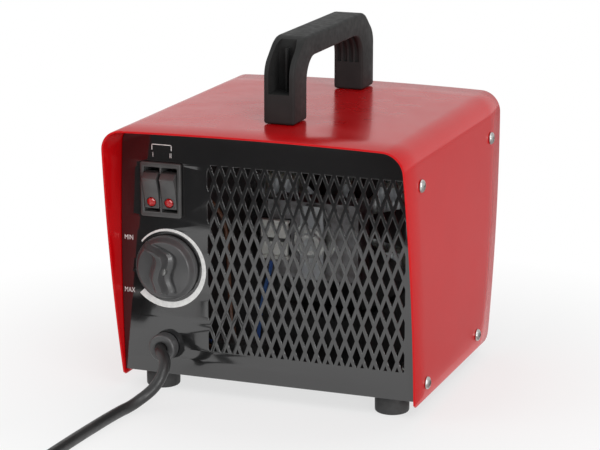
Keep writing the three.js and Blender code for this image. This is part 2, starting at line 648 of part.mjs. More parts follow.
const FLOOR_Z = CORD_RADIUS + 0.1;
const leadRoute = [
  [GLAND_X, 7, GLAND_Z], [GLAND_X, -1, GLAND_Z], [GLAND_X, -7.8, GLAND_Z], [-61.9, -12, 28.1],
  [-59.8, -15.6, 27], [-58.3, -19.4, 25.1], [-57.6, -22.7, 22.6], [-57.8, -25.6, 19.5],
  [-58.8, -28, 15.9], [-60.4, -30.3, 12.4], [-62.6, -33.1, 9.3], [-64.8, -36.4, 6.8],
  [-66.7, -40.1, 4.9], [-68.1, -44.2, 3.8], [-69, -48.5, FLOOR_Z], [-70, -62, FLOOR_Z],
  [-71.2, -81, FLOOR_Z], [-72.4, -106, FLOOR_Z], [-73.5, -133, FLOOR_Z], [-74.2, -159, FLOOR_Z],
  [-74.6, -182, FLOOR_Z],
].map(([x, fromPanel, z]) => [x, REAR_FACE + fromPanel, z]);
place('mains_cord', tube(leadRoute, CORD_RADIUS, 10, 28), rubber);

function makeCoil() {
  const inner = COIL_MEAN_RADIUS - COIL_BUNDLE_WIDTH / 2;
  const outer = COIL_MEAN_RADIUS + COIL_BUNDLE_WIDTH / 2;
  const top = COIL_BUNDLE_HEIGHT;
  const ease = 2.5;
  const profile = [
    [inner, ease], [inner + ease, 0], [outer - ease, 0], [outer, ease], [outer, top - ease],
    [outer - ease, top], [inner + ease, top], [inner, top - ease], [inner, ease],
  ];
  return turned(profile, 28).rotateX(Math.PI / 2);
}
place('cord_coil', makeCoil(), rubber, COIL_X, COIL_Y, 0);

const tailRoute = [
  [-162.3, 25, 5.6], [-161.6, 33, 4.3], [-160.1, 39, 3.8], [-158.6, 43, 4], [-158, 46.6, 4.4],
].map(([x, fromCoil, z]) => [x, COIL_Y + fromCoil, z]);
place('cord_tail', tube(tailRoute, CORD_RADIUS, 10, 10), rubber);

// Round two-pin plug on its side, resting on the back edge of its collar and the end of its boot.
function makePlug() {
  const rest = PLUG_BOOT_RADIUS + FIT;
  const lean = Math.atan2(PLUG_RADIUS, PLUG_COLLAR) - Math.asin(rest / Math.hypot(PLUG_RADIUS, PLUG_COLLAR));
  const group = new THREE.Group();
  group.position.set(PLUG_X, PLUG_Y, rest);
  group.rotation.x = lean;
  const body = geometryOf(solidOf(turned([
    [0, 0], [PLUG_BOOT_RADIUS, 0], [PLUG_BOOT_RADIUS + 1.6, 20], [12, 27], [15, 34],
    [16.4, PLUG_COLLAR - 2], [PLUG_RADIUS, PLUG_COLLAR], [PLUG_RADIUS, PLUG_LENGTH - 1],
    [PLUG_RADIUS - 1, PLUG_LENGTH], [0, PLUG_LENGTH],
  ], 24)));
  const bodyMesh = new THREE.Mesh(body, blackPlastic);
  bodyMesh.name = 'plug_body';
  group.add(bodyMesh);
  for (const side of [-1, 1]) {
    const start = PLUG_LENGTH + FIT;
    const rod = rodY((side * PIN_SPACING) / 2, 0, PIN_RADIUS, start, start + PIN_LENGTH, 12);
    const pin = new THREE.Mesh(rod, steel);
    pin.name = side < 0 ? 'plug_pin_left' : 'plug_pin_right';
    group.add(pin);
  }
  heater.add(group);
}
makePlug();

// ---- Fan, its shroud and motor ----
// A wall across the inside of the hood, standing on the base pan.
const innerWall = (y0, y1) => prismY(hoodLine(CHASSIS_INSET, CHASSIS_BOTTOM + PAN_FLANGE + FIT), y0, y1);
const lowerWall = (y0, y1) => box(
  PANEL_SHEET + FIT - PAN_HALF_WIDTH, PAN_HALF_WIDTH - PANEL_SHEET - FIT, y0, y1, BASE_TOP + FIT, SPRINGING);

const leadNotch = (y0, y1) => box(-86, -74, y0, y1, BASE_TOP, BASE_TOP + 10);

function makeShroud() {
  const bore = FAN_RADIUS + FAN_TIP_GAP;
  const front = SHROUD_Y + SHROUD_SHEET;
  const collarEnd = front + SHROUD_RING_DEPTH;
  const ring = rodY(FAN_X, FAN_Z, bore + 2, SHROUD_Y, collarEnd, 32);
  const plate = cut(
    join(innerWall(SHROUD_Y, front), lowerWall(SHROUD_Y, front), ring),
    rodY(FAN_X, FAN_Z, bore, SHROUD_Y - 1, collarEnd + 1, 32),
    leadNotch(SHROUD_Y - 1, front + 1),
  );
  const arms = [90, 210, 330].map((degrees) => {
    const arm = box(10, bore + 1, SHROUD_Y - 2, front, -4, 4);
    return arm.rotateY((-degrees * Math.PI) / 180).translate(FAN_X, 0, FAN_Z);
  });
  const hub = rodY(FAN_X, FAN_Z, 20, SHROUD_Y - 2, front, 24);
  const hubHole = rodY(FAN_X, FAN_Z, 7.5, SHROUD_Y - 4, front + 1, 20);
  return cut(join(plate, ...arms, hub), hubHole);
}
place('fan_shroud', makeShroud(), blackPlastic);

const coilX = FAN_X - 24;
const windowLeft = coilX + 4;
const windowRight = coilX + COIL_BOX_WIDTH / 2 + FIT;
const limbLeft = coilX - 4;

function makeMotorCore() {
  const outline = [[limbLeft - 1, -23], [27, -23], [27, 23], [limbLeft - 1, 23]]
    .map(([x, z], i) => new THREE.Vector2(i === 0 || i === 3 ? x : FAN_X + x, FAN_Z + z));
  const high = COIL_BOX_HEIGHT / 2 + FIT;
  const window = box(windowLeft, windowRight, CORE_REAR - 1, CORE_FRONT + 1, FAN_Z - high, FAN_Z + high);
  const outside = box(limbLeft - 9, limbLeft, CORE_REAR - 1, CORE_FRONT + 1, FAN_Z - high, FAN_Z + high);
  const bore = rodY(FAN_X, FAN_Z, ROTOR_RADIUS + FIT, CORE_REAR - 1, CORE_FRONT + 1, 24);
  return cut(prismY(outline, CORE_REAR, CORE_FRONT), window, outside, bore);
}
place('motor_core', makeMotorCore(), zinc);

function makeMotorCoil() {
  const half = COIL_BOX_HEIGHT / 2;
  const wide = COIL_BOX_WIDTH / 2;
  const over = 5; // the winding stands out of the stack at both ends
  const outer = box(
    coilX - wide, coilX + wide, CORE_REAR - over, CORE_FRONT + over, FAN_Z - half, FAN_Z + half);
  const limb = box(
    limbLeft - FIT, windowLeft + FIT, CORE_REAR - FIT, CORE_FRONT + FIT, FAN_Z - half - 1, FAN_Z + half + 1);
  return cut(outer, limb);
}
place('motor_coil', makeMotorCoil(), paleCeramic);

// Bearing bridges over the back and the front of the stack.
function bearingBridge(seat, outward, capEnd, bore) {
  const span = (a, b) => [Math.min(a, b), Math.max(a, b)];
  const outline = roundedBox(FAN_X - 7, FAN_X + 7, FAN_Z - 22, FAN_Z + 22, 3, 2);
  const strap = prismY(outline, ...span(seat + outward * 3, seat + outward * 5));
  const legs = [-19, 19].map((z) => box(
    FAN_X - 5, FAN_X + 5, ...span(seat + outward * FIT, seat + outward * 4), FAN_Z + z - 3, FAN_Z + z + 3));
  const cap = rodY(FAN_X, FAN_Z, 7, ...span(seat + outward * 3, capEnd), 20);
  return cut(join(strap, ...legs, cap), bore);
}
const shaftBore = rodY(FAN_X, FAN_Z, SHAFT_RADIUS + FIT, MOTOR_TAIL_Y + 1, FAN_START, 16);
place('motor_bridge_rear', bearingBridge(CORE_REAR, -1, MOTOR_TAIL_Y, shaftBore), zinc);
place('motor_bridge_front', bearingBridge(CORE_FRONT, 1, SHROUD_Y - 2 - FIT, shaftBore), zinc);

const shaftEnd = FAN_START + FAN_DEPTH;
place('motor_rotor', join(
  rodY(FAN_X, FAN_Z, SHAFT_RADIUS, MOTOR_TAIL_Y + 1 + FIT, shaftEnd, 12),
  rodY(FAN_X, FAN_Z, ROTOR_RADIUS, CORE_REAR + 0.5, CORE_FRONT - 0.5, 24),
), steel);

function makeFan() {
  const middle = FAN_DEPTH / 2;
  const hub = turned([
    [0, 0], [FAN_HUB_RADIUS, 0], [FAN_HUB_RADIUS, FAN_DEPTH - 3],
    [FAN_HUB_RADIUS - 3, FAN_DEPTH], [0, FAN_DEPTH],
  ], 24);
  const blades = [];
  for (let i = 0; i < FAN_BLADES; i++) {
    const sheet = box(FAN_HUB_RADIUS - 3, FAN_RADIUS + 2, -0.8, 0.8, -13, 13);
    sheet.rotateX((-35 * Math.PI) / 180);
    sheet.translate(0, middle, 0).rotateY((2 * Math.PI * i) / FAN_BLADES);
    blades.push(sheet);
  }
  const sweep = rodY(0, 0, FAN_RADIUS, 0.5, FAN_DEPTH - 0.5, 36);
  const trimmed = blades.map((blade) => overlapOf(blade, sweep));
  return cut(join(hub, ...trimmed), rodY(0, 0, SHAFT_RADIUS + FIT, -1, FAN_DEPTH + 1, 12));
}
place('fan', makeFan(), blackPlastic, FAN_X, FAN_START, FAN_Z);

// ---- Ceramic heating element and its frame ----
const heaterLow = FAN_Z - HEATER_HEIGHT / 2;

function makeHeaterFrame() {
  const w = HEATER_WIDTH / 2 + FIT;
  const h = HEATER_HEIGHT / 2 + FIT;
  const wall = 2;
  const opening = (grow) => roundedBox(-w - grow, w + grow, FAN_Z - h - grow, FAN_Z + h + grow, 0);
  const start = HEATER_Y - wall;
  const blank = join(
    innerWall(start, HEATER_Y), lowerWall(start, HEATER_Y),
    prismY(opening(wall), start, HEATER_Y + HEATER_COLLAR),
  );
  return cut(
    blank, prismY(opening(0), HEATER_Y, HEATER_Y + HEATER_COLLAR + 1),
    prismY(opening(-4), start - 1, HEATER_Y + 1), leadNotch(start - 1, HEATER_Y + 1),
  );
}
place('heater_frame', makeHeaterFrame(), blackPlastic);

// Rows of ceramic stones between finned aluminium rails.
function makeHeaterCore() {
  const w = HEATER_WIDTH / 2;
  const pitch = (HEATER_HEIGHT - HEATER_BAR) / HEATER_ROWS;
  const rear = HEATER_Y - 1;
  const front = HEATER_Y + HEATER_DEPTH + 2;
  const gaps = [];
  const cells = 6;
  for (let row = 0; row < HEATER_ROWS; row++) {
    for (let cell = 0; cell < cells; cell++) {
      const width = (HEATER_WIDTH - HEATER_BAR) / cells;
      const x = -w + HEATER_BAR + cell * width;
      const z = heaterLow + HEATER_BAR + row * pitch;
      gaps.push(box(x, x + width - HEATER_BAR, rear, front, z, z + pitch - HEATER_BAR));
    }
  }
  return cut(
    box(-w, w, HEATER_Y + FIT, HEATER_Y + FIT + HEATER_DEPTH, heaterLow, heaterLow + HEATER_HEIGHT),
    mergeGeometries(gaps));
}
place('ceramic_heater', makeHeaterCore(), aluminium);

const cutoutSeat = FAN_Z + HEATER_HEIGHT / 2 + 2 + 2 * FIT;
place('thermal_cutout', join(
  rodZ(-30, HEATER_Y + 8.5, 8, cutoutSeat, cutoutSeat + 5, 20),
  box(-42, -18, HEATER_Y + 5.5, HEATER_Y + 11.5, cutoutSeat + 3, cutoutSeat + 4),
), paleCeramic);

// ---- Wiring ----
const TERMINAL_X = -26;
const TERMINAL_Y = REAR_FACE + 27;
const terminalTop = BASE_TOP + FIT + 15;

function makeTerminalBlock() {
  const half = 16;
  const body = box(
    TERMINAL_X - half, TERMINAL_X + half, TERMINAL_Y - 8, TERMINAL_Y + 8, BASE_TOP + FIT, terminalTop);
  const wells = [-10.5, 0, 10.5].map((x) =>
    rodZ(TERMINAL_X + x, TERMINAL_Y, 2.6, terminalTop - 6, terminalTop + 1, 12));
  return cut(body, ...wells);
}
place('terminal_block', makeTerminalBlock(), paleCeramic);

place('earth_screw', join(
  rodZ(EARTH_X, EARTH_Y, SCREW_RADIUS, CHASSIS_BOTTOM - 1, BASE_TOP + 11, 12),
  rodZ(EARTH_X, EARTH_Y, 4, BASE_TOP + FIT, BASE_TOP + 3.5, 6),
  rodZ(EARTH_X, EARTH_Y, SCREW_HEAD_RADIUS, BASE_TOP + 5, BASE_TOP + 7.5, 12),
), steel);

// A place between the terminal block and the fan's shroud.
const runY = (share) => TERMINAL_Y + (SHROUD_Y - TERMINAL_Y) * share;
const toSwitchX = SWITCH_X + ROCKER_SPACING / 2;
const wires = {
  wire_supply: [brownWire, [
    [GLAND_X, REAR_FACE + 18.6, GLAND_Z], [-58, REAR_FACE + 23, 28.4], [-52, REAR_FACE + 26, 25],
    [-46.5, TERMINAL_Y, 22], [-42.6, TERMINAL_Y, 21]]],
  wire_switch: [brownWire, [
    [-34, TERMINAL_Y + 9.6, 24], [-38, REAR_FACE + 40, 38], [-40, REAR_FACE + 41, 66],
    [-42, REAR_FACE + 39, 96], [-50, REAR_FACE + 33, 111], [toSwitchX, REAR_FACE + 29.8, 113.8]]],
  wire_motor: [blueWire, [
    [-20, TERMINAL_Y + 9.6, 22], [-20, TERMINAL_Y + 13, 36], [-18, CORE_REAR - 5, 54],
    [-15, CORE_REAR - 3.4, 66], [-14, CORE_REAR - 2.6, FAN_Z - 13.4]]],
  wire_heater: [blueWire, [
    [-38, TERMINAL_Y + 9.6, 18], [-46, runY(0.41), 16.4], [-66, runY(0.63), 15.6],
    [-79, runY(0.89), 16.6], [-80, HEATER_Y - 16, 17], [-80, HEATER_Y + 6, 18],
    [-79, HEATER_Y + 16, 30], [-73, HEATER_Y + 16, 50], [-70.6 - WIRE_RADIUS, HEATER_Y + 14, 66]]],
};
for (const [name, [material, route]] of Object.entries(wires)) {
  place(name, tube(route, WIRE_RADIUS, 6, 2 * route.length), material);
}

export default heater;
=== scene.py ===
# Looks of the ceramic fan heater: red painted hood, gloss black chassis, moulded black fittings.
# Sizes of the heater are in millimetres and become metres in mm(). Camera, lamps and stage are in metres.
from math import asin, atan2, cos, hypot, pi, radians, sin, sqrt

import bmesh
import bpy
from mathutils import Matrix, Vector


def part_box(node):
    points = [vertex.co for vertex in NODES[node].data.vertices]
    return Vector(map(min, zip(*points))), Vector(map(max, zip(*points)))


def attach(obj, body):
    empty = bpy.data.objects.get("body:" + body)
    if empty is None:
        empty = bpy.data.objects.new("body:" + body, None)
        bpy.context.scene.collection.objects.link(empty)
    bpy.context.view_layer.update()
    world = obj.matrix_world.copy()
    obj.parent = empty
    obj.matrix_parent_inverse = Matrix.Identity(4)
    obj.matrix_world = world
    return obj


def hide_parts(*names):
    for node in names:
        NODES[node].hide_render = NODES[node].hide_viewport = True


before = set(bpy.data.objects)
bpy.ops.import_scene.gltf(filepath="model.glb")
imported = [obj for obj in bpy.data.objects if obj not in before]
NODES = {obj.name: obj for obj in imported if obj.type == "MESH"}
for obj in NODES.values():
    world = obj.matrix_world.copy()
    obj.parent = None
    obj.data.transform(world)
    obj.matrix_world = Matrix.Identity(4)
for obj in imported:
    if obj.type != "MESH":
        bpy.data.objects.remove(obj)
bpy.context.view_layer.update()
MM = 0.001


def mm(*values):
    return tuple(v * MM for v in values)


def span(node, axis):
    """Lowest and highest place of a CAD node along an axis, in millimetres."""
    low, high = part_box(node)
    return low[axis] / MM, high[axis] / MM


def middle(node, axis):
    return sum(span(node, axis)) / 2


def linked(name, data):
    """A new object in the scene for a mesh, curve, camera or lamp."""
    obj = bpy.data.objects.new(name, data)
    bpy.context.scene.collection.objects.link(obj)
    return obj


# ---- Sizes in millimetres, from the frame where it has them ----
HOOD_REAR, HOOD_FRONT = span("hood", 1)
HOOD_FOOT, HOOD_CROWN = span("hood", 2)
HALF_WIDTH = 90
TOP_CROWN = 1.2
SIDE_BOW = 1.4
BEND = 13
SHEET = 1.2
REAR_RAKE = 26
FRONT_RAKE = 20
TIP_RADIUS = 2.5
TOE_RADIUS = 7
CREST = HOOD_CROWN - TOP_CROWN
SPRINGING = CREST - BEND
REAR_FACE, REAR_RIM = span("inlet_panel", 1)
FRONT_RIM, FRONT_FACE = span("outlet_panel", 1)
PANEL_FOOT = span("inlet_panel", 2)[0]
PANEL_SHEET = 1
PANEL_INSET = 1.5
CASING = "casing"


# ---- Camera ----
def make_camera():
    data = bpy.data.cameras.new("camera")
    data.sensor_width = 36
    data.lens = 136.8
    data.shift_x = 0.0026
    data.shift_y = -0.0053
    data.clip_end = 20
    camera = linked("camera", data)
    turn = radians(20.71)
    dip = radians(13.91)
    ahead = Vector((-sin(turn) * cos(dip), cos(turn) * cos(dip), -sin(dip)))
    right = Vector((cos(turn), sin(turn), 0))
    up = right.cross(ahead)
    rotation = Matrix((right, up, -ahead)).transposed().to_4x4()
    camera.matrix_world = Matrix.Translation((0.459, -1.231, 0.4175)) @ rotation
    bpy.context.scene.camera = camera


make_camera()


# ---- Materials ----
class Shader:
    """A Principled material whose noise, bump and colour variation are added step by step."""

    def __init__(self, name, color, roughness, metallic=0.0, coat=0.0, specular=0.5):
        self.material = bpy.data.materials.new(name)
        self.material.use_nodes = True
        self.nodes = self.material.node_tree.nodes
        self.links = self.material.node_tree.links
        self.principled = self.nodes["Principled BSDF"]
        self.color = color
        self.put("Base Color", (*color, 1))
        self.put("Roughness", roughness)
        self.put("Metallic", metallic)
        self.put("Coat Weight", coat)
        self.put("Coat Roughness", 0.06)
        self.put("Specular IOR Level", specular)
        self.place = self.nodes.new("ShaderNodeTexCoord").outputs["Object"]
        self.normal = None

    def put(self, socket, value):
        self.principled.inputs[socket].default_value = value

    def link(self, start, end):
        self.links.new(start, end)

    def stretched(self, scale):
        mapping = self.nodes.new("ShaderNodeMapping")
        mapping.inputs["Scale"].default_value = scale
        self.link(self.place, mapping.inputs["Vector"])
        return mapping.outputs["Vector"]

    def noise(self, scale, detail=2.0, stretch=None):
        node = self.nodes.new("ShaderNodeTexNoise")
        node.inputs["Scale"].default_value = scale
        node.inputs["Detail"].default_value = detail
        self.link(self.stretched(stretch) if stretch else self.place, node.inputs["Vector"])
        return node.outputs["Fac"]

    def bands(self, axis, per_metre, distortion=0.0):
        node = self.nodes.new("ShaderNodeTexWave")
        node.bands_direction = axis
        node.inputs["Scale"].default_value = per_metre / 20 * 2 * pi
        node.inputs["Distortion"].default_value = distortion
        self.link(self.place, node.inputs["Vector"])
        return node.outputs["Fac"]

    def remap(self, factor, low, high, start=0.3, end=0.7):
        node = self.nodes.new("ShaderNodeMapRange")
        node.inputs["From Min"].default_value = start
        node.inputs["From Max"].default_value = end
        node.inputs["To Min"].default_value = low
        node.inputs["To Max"].default_value = high
        self.link(factor, node.inputs["Value"])
        return node.outputs["Result"]

    def tint(self, factor, other, start=0.35, end=0.65):
        """Blends the colour towards another where the factor is high."""
        ramp = self.nodes.new("ShaderNodeValToRGB")
        ramp.color_ramp.elements[0].position = start
        ramp.color_ramp.elements[0].color = (*self.color, 1)
        ramp.color_ramp.elements[1].position = end
        ramp.color_ramp.elements[1].color = (*other, 1)
        self.link(factor, ramp.inputs["Fac"])
        self.link(ramp.outputs["Color"], self.principled.inputs["Base Color"])
        return self

    def rough(self, factor, low, high):
        self.link(self.remap(factor, low, high), self.principled.inputs["Roughness"])
        return self

    def bump(self, factor, height_mm, strength=1.0):
        node = self.nodes.new("ShaderNodeBump")
        node.inputs["Strength"].default_value = strength
        node.inputs["Distance"].default_value = height_mm * MM
        self.link(factor, node.inputs["Height"])
        if self.normal:
            self.link(self.normal, node.inputs["Normal"])
        self.normal = node.outputs["Normal"]
        self.link(self.normal, self.principled.inputs["Normal"])
        return self


def red_paint():
    s = Shader("red_paint", (0.6, 0.0015, 0.004), 0.22, metallic=0.15, coat=0.15, specular=0.35)
    s.put("Specular Tint", (1, 0.6, 0.62, 1))
    s.tint(s.noise(14, 4), (0.56, 0.001, 0.003))
    s.rough(s.noise(60, 3), 0.2, 0.27)
    s.bump(s.noise(300, 2), 0.004, 0.12)
    return s.bump(s.noise(1800, 1), 0.002, 0.12).material


def black_paint():
    s = Shader("black_paint", (0.007, 0.007, 0.0072), 0.1, coat=0.8, specular=0.8)
    s.tint(s.noise(20, 4), (0.01, 0.01, 0.0105))
    s.rough(s.noise(90, 3), 0.07, 0.13)
    return s.bump(s.noise(300, 2), 0.006, 0.3).material


def handle_plastic():
    s = Shader("handle_plastic", (0.023, 0.0235, 0.0235), 0.58, specular=0.1)
    s.tint(s.noise(45, 5), (0.031, 0.031, 0.0305))
    s.rough(s.noise(300, 3), 0.45, 0.6)
    s.bump(s.noise(2200, 3), 0.03, 0.5)
    return s.bump(s.noise(180, 2), 0.02, 0.25).material


def knob_plastic():
    s = Shader("knob_plastic", (0.052, 0.052, 0.053), 0.36, coat=0.1)
    s.tint(s.noise(60, 4), (0.066, 0.066, 0.067))
    s.rough(s.noise(240, 3), 0.28, 0.4)
    return s.bump(s.noise(1500, 2), 0.012, 0.35).material


def switch_plastic():
    s = Shader("switch_plastic", (0.05, 0.05, 0.05), 0.4, coat=0.1)
    s.tint(s.noise(80, 4), (0.068, 0.068, 0.067))
    s.rough(s.noise(400, 3), 0.3, 0.42)
    return s.bump(s.noise(2600, 2), 0.01, 0.4).material


def inner_plastic():
    s = Shader("inner_plastic", (0.025, 0.025, 0.025), 0.55)
    s.tint(s.noise(40, 5), (0.04, 0.04, 0.04))
    s.rough(s.noise(200, 3), 0.5, 0.68)
    return s.bump(s.noise(1400, 3), 0.03, 0.5).material


def rubber():
    s = Shader("rubber", (0.018, 0.018, 0.0185), 0.62)
    s.tint(s.noise(70, 5), (0.03, 0.03, 0.03))
    s.rough(s.noise(350, 3), 0.55, 0.75)
    return s.bump(s.noise(1800, 4), 0.03, 0.5).material


def cord_sheath():
    s = Shader("cord_sheath", (0.012, 0.012, 0.0125), 0.4)
    s.tint(s.noise(50, 4), (0.02, 0.02, 0.02))
    s.rough(s.noise(260, 3), 0.33, 0.48)
    return s.bump(s.noise(900, 2), 0.02, 0.4).material


def bright_steel():
    s = Shader("bright_steel", (0.62, 0.62, 0.6), 0.3, metallic=1)
    s.tint(s.noise(600, 4), (0.42, 0.42, 0.41))
    s.rough(s.noise(900, 4), 0.22, 0.42)
    return s.bump(s.noise(2400, 2, (1, 1, 6)), 0.01, 0.4).material


def zinc_plate():
    s = Shader("zinc_plate", (0.5, 0.51, 0.52), 0.42, metallic=1)
    s.tint(s.noise(90, 6), (0.36, 0.37, 0.39))
    s.rough(s.noise(160, 4), 0.35, 0.55)
    return s.bump(s.noise(500, 4), 0.02, 0.4).material


def laminated_iron():
    s = Shader("laminated_iron", (0.3, 0.3, 0.31), 0.5, metallic=0.9)
    s.tint(s.noise(200, 5), (0.16, 0.15, 0.15))
    s.rough(s.noise(300, 3), 0.42, 0.6)
    return s.bump(s.bands("Y", 1600), 0.12, 0.8).material


def cast_aluminium():
    s = Shader("cast_aluminium", (0.66, 0.67, 0.68), 0.4, metallic=1)
    s.tint(s.noise(120, 5), (0.52, 0.53, 0.55))
    s.rough(s.noise(400, 3), 0.32, 0.5)
    return s.bump(s.noise(1500, 3), 0.02, 0.4).material


def red_lens():
    s = Shader("red_lens", (0.5, 0.014, 0.014), 0.14, coat=0.5)
    s.put("Transmission Weight", 0.15)
    s.tint(s.noise(900, 3), (0.38, 0.008, 0.01))
    return s.bump(s.noise(1400, 2), 0.02, 0.3).material


def ceramic():
    s = Shader("ceramic", (0.72, 0.69, 0.62), 0.6)
    s.tint(s.noise(160, 6), (0.6, 0.57, 0.5))
    s.rough(s.noise(600, 3), 0.5, 0.75)
    return s.bump(s.noise(1200, 4), 0.04, 0.5).material


def nylon():
    s = Shader("nylon", (0.7, 0.7, 0.67), 0.45)
    s.tint(s.noise(70, 5), (0.6, 0.6, 0.57))
    s.rough(s.noise(300, 3), 0.38, 0.52)
    return s.bump(s.noise(1300, 3), 0.02, 0.4).material


def printed_white():
    s = Shader("printed_white", (0.78, 0.78, 0.76), 0.5)
    s.tint(s.noise(500, 4), (0.66, 0.66, 0.65))
    return s.bump(s.noise(2500, 2), 0.01, 0.4).material


def wire_cover(name, color, worn):
    s = Shader(name, color, 0.42)
    s.tint(s.noise(80, 4), worn)
    s.rough(s.noise(300, 3), 0.36, 0.5)
    return s.bump(s.noise(1000, 2), 0.02, 0.4).material


RED_PAINT = red_paint()
BLACK_PAINT = black_paint()
HANDLE_PLASTIC = handle_plastic()
KNOB_PLASTIC = knob_plastic()
SWITCH_PLASTIC = switch_plastic()
INNER_PLASTIC = inner_plastic()
RUBBER = rubber()
CORD_SHEATH = cord_sheath()
BRIGHT_STEEL = bright_steel()
ZINC = zinc_plate()
IRON = laminated_iron()
ALUMINIUM = cast_aluminium()
RED_LENS = red_lens()
CERAMIC = ceramic()
NYLON = nylon()
PRINTED_WHITE = printed_white()
BLUE_WIRE = wire_cover("blue_wire", (0.02, 0.07, 0.3), (0.03, 0.09, 0.24))
BROWN_WIRE = wire_cover("brown_wire", (0.16, 0.06, 0.025), (0.12, 0.045, 0.02))


# ---- Making pieces ----
def piece(name, geometry, material, body=CASING, replaces=()):
    """Links a mesh as a piece that rides on a body."""
    obj = linked(name, geometry)
    geometry.materials.clear()
    geometry.materials.append(material)
    bpy.context.view_layer.update()
    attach(obj, body)
    if replaces:
        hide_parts(*replaces)
    return obj


def mesh_of(points_mm, faces):
    data = bpy.data.meshes.new("mesh")
    data.from_pydata([mm(*p) for p in points_mm], [], faces)
    data.validate()
    return data


def facing_out(data, weld=False):
    """Faces turned outwards, after points in one place are joined if asked."""
    work = bmesh.new()
    work.from_mesh(data)
    if weld:
        bmesh.ops.remove_doubles(work, verts=work.verts, dist=1e-6)
    bmesh.ops.recalc_face_normals(work, faces=work.faces)
    work.to_mesh(data)
    work.free()
    return data


def shaded(data, angle=35):
    """Faces turned outwards, smooth except over edges sharper than the angle."""
    facing_out(data, weld=True)
    data.shade_smooth()
    data.set_sharp_from_angle(angle=radians(angle))
    return data


def finished_mesh(data, *modifiers):
    """The mesh that a mesh, curve or text makes once modifiers have run, each (type, {setting: value})."""
    temporary = linked("temporary", data)
    for kind, settings in modifiers:
        modifier = temporary.modifiers.new(kind.lower(), kind)
        for key, value in settings.items():
            setattr(modifier, key, value)
    bpy.context.view_layer.update()
    graph = bpy.context.evaluated_depsgraph_get()
    result = bpy.data.meshes.new_from_object(temporary.evaluated_get(graph))
    bpy.data.objects.remove(temporary)
    return result


def thickened(data, thickness_mm, **settings):
    return finished_mesh(data, ("SOLIDIFY", {"thickness": thickness_mm * MM, **settings}))


def bevelled(data, width_mm, segments=3, angle=30):
    settings = {
        "width": width_mm * MM, "segments": segments, "limit_method": "ANGLE",
        "angle_limit": radians(angle), "use_clamp_overlap": True,
    }
    return finished_mesh(data, ("BEVEL", settings))


def carved(data, *cutters):
    """The mesh less each cutter mesh."""
    for cutter in cutters:
        tool = linked("tool", cutter)
        settings = {"operation": "DIFFERENCE", "object": tool, "solver": "EXACT"}
        data = finished_mesh(data, ("BOOLEAN", settings))
        bpy.data.objects.remove(tool)
    return data


def merged(*parts):
    work = bmesh.new()
    for data in parts:
        work.from_mesh(data)
    result = bpy.data.meshes.new("merged")
    work.to_mesh(result)
    work.free()
    return result


def moved(data, matrix):
    data.transform(matrix)
    if matrix.determinant() < 0:
        data.flip_normals()
    return data


def at(x, y, z):
    return Matrix.Translation(mm(x, y, z))


def turned(profile, segments=48):
    """A profile of (radius, height) turned about Z. Points on the axis close it."""
    points = []
    rings = []
    for radius, height in profile:
        count = 1 if radius < 1e-6 else segments
        rings.append(range(len(points), len(points) + count))
        for i in range(count):
            angle = 2 * pi * i / segments
            points.append((radius * cos(angle), radius * sin(angle), height))
    faces = []
    for lower, upper in zip(rings, rings[1:]):
        for i in range(segments):
            j = (i + 1) % segments
            a, b = lower[i % len(lower)], lower[j % len(lower)]
            c, d = upper[j % len(upper)], upper[i % len(upper)]
            corners = list(dict.fromkeys((a, b, c, d)))
            if len(corners) > 2:
                faces.append(corners)
    return mesh_of(points, faces)


TOWARDS_VIEWER = Matrix.Rotation(pi / 2, 4, "X")  # +Z of a turned piece becomes -Y
AWAY_FROM_VIEWER = Matrix.Rotation(-pi / 2, 4, "X")


def prism(outline, low, high, axis="Z"):
    """An outline between two planes: (x, y) along Z, (x, z) along Y, or (y, z) along X."""
    order = {
        "Z": lambda u, v, w: (u, v, w),
        "Y": lambda u, v, w: (u, w, v),
        "X": lambda u, v, w: (w, u, v),
    }[axis]
    count = len(outline)
    points = [order(u, v, low) for u, v in outline] + [order(u, v, high) for u, v in outline]
    faces = [list(range(count))[::-1], list(range(count, 2 * count))]
    faces += [[i, (i + 1) % count, count + (i + 1) % count, count + i] for i in range(count)]
    return facing_out(mesh_of(points, faces))


def block(x0, x1, y0, y1, z0, z1):
    return prism([(x0, y0), (x1, y0), (x1, y1), (x0, y1)], z0, z1)


def rounded(corners, steps=8):
    """Closed outline through (u, v, radius) corners, each rounded by its own radius."""
    outline = []
    for i, (u, v, radius) in enumerate(corners):
        corner = Vector((u, v))
        if radius == 0:
            outline.append((u, v))
            continue
        back = (Vector(corners[i - 1][:2]) - corner).normalized()
        ahead = (Vector(corners[(i + 1) % len(corners)][:2]) - corner).normalized()
        half = back.angle(ahead) / 2
        centre = corner + (back + ahead).normalized() * radius / sin(half)
        reach = radius / (sin(half) / cos(half))
        start = corner + back * reach - centre
        end = corner + ahead * reach - centre
        first = atan2(start.y, start.x)
        sweep = (atan2(end.y, end.x) - first + pi) % (2 * pi) - pi
        for k in range(steps + 1):
            angle = first + sweep * k / steps
            outline.append((centre.x + radius * cos(angle), centre.y + radius * sin(angle)))
    return outline


def rectangle(u0, u1, v0, v1, radius, steps=5):
    return rounded([(u0, v0, radius), (u1, v0, radius), (u1, v1, radius), (u0, v1, radius)], steps)


def sheet_with_holes(outline, holes, thickness, edge):
    """A flat sheet in (x, z) with its back at y = 0 and softened edges, its face towards -Y."""
    curve = bpy.data.curves.new("outline", "CURVE")
    curve.dimensions = "2D"
    curve.fill_mode = "BOTH"
    curve.extrude = (thickness / 2 - edge) * MM
    curve.bevel_depth = edge * MM
    curve.bevel_resolution = 2
    curve.offset = -edge * MM
    for loop in [outline, *holes]:
        spline = curve.splines.new("POLY")
        spline.points.add(len(loop) - 1)
        spline.use_cyclic_u = True
        for point, (u, v) in zip(spline.points, loop):
            point.co = (u * MM, v * MM, 0, 1)
    return moved(finished_mesh(curve), at(0, -thickness / 2, 0) @ TOWARDS_VIEWER)


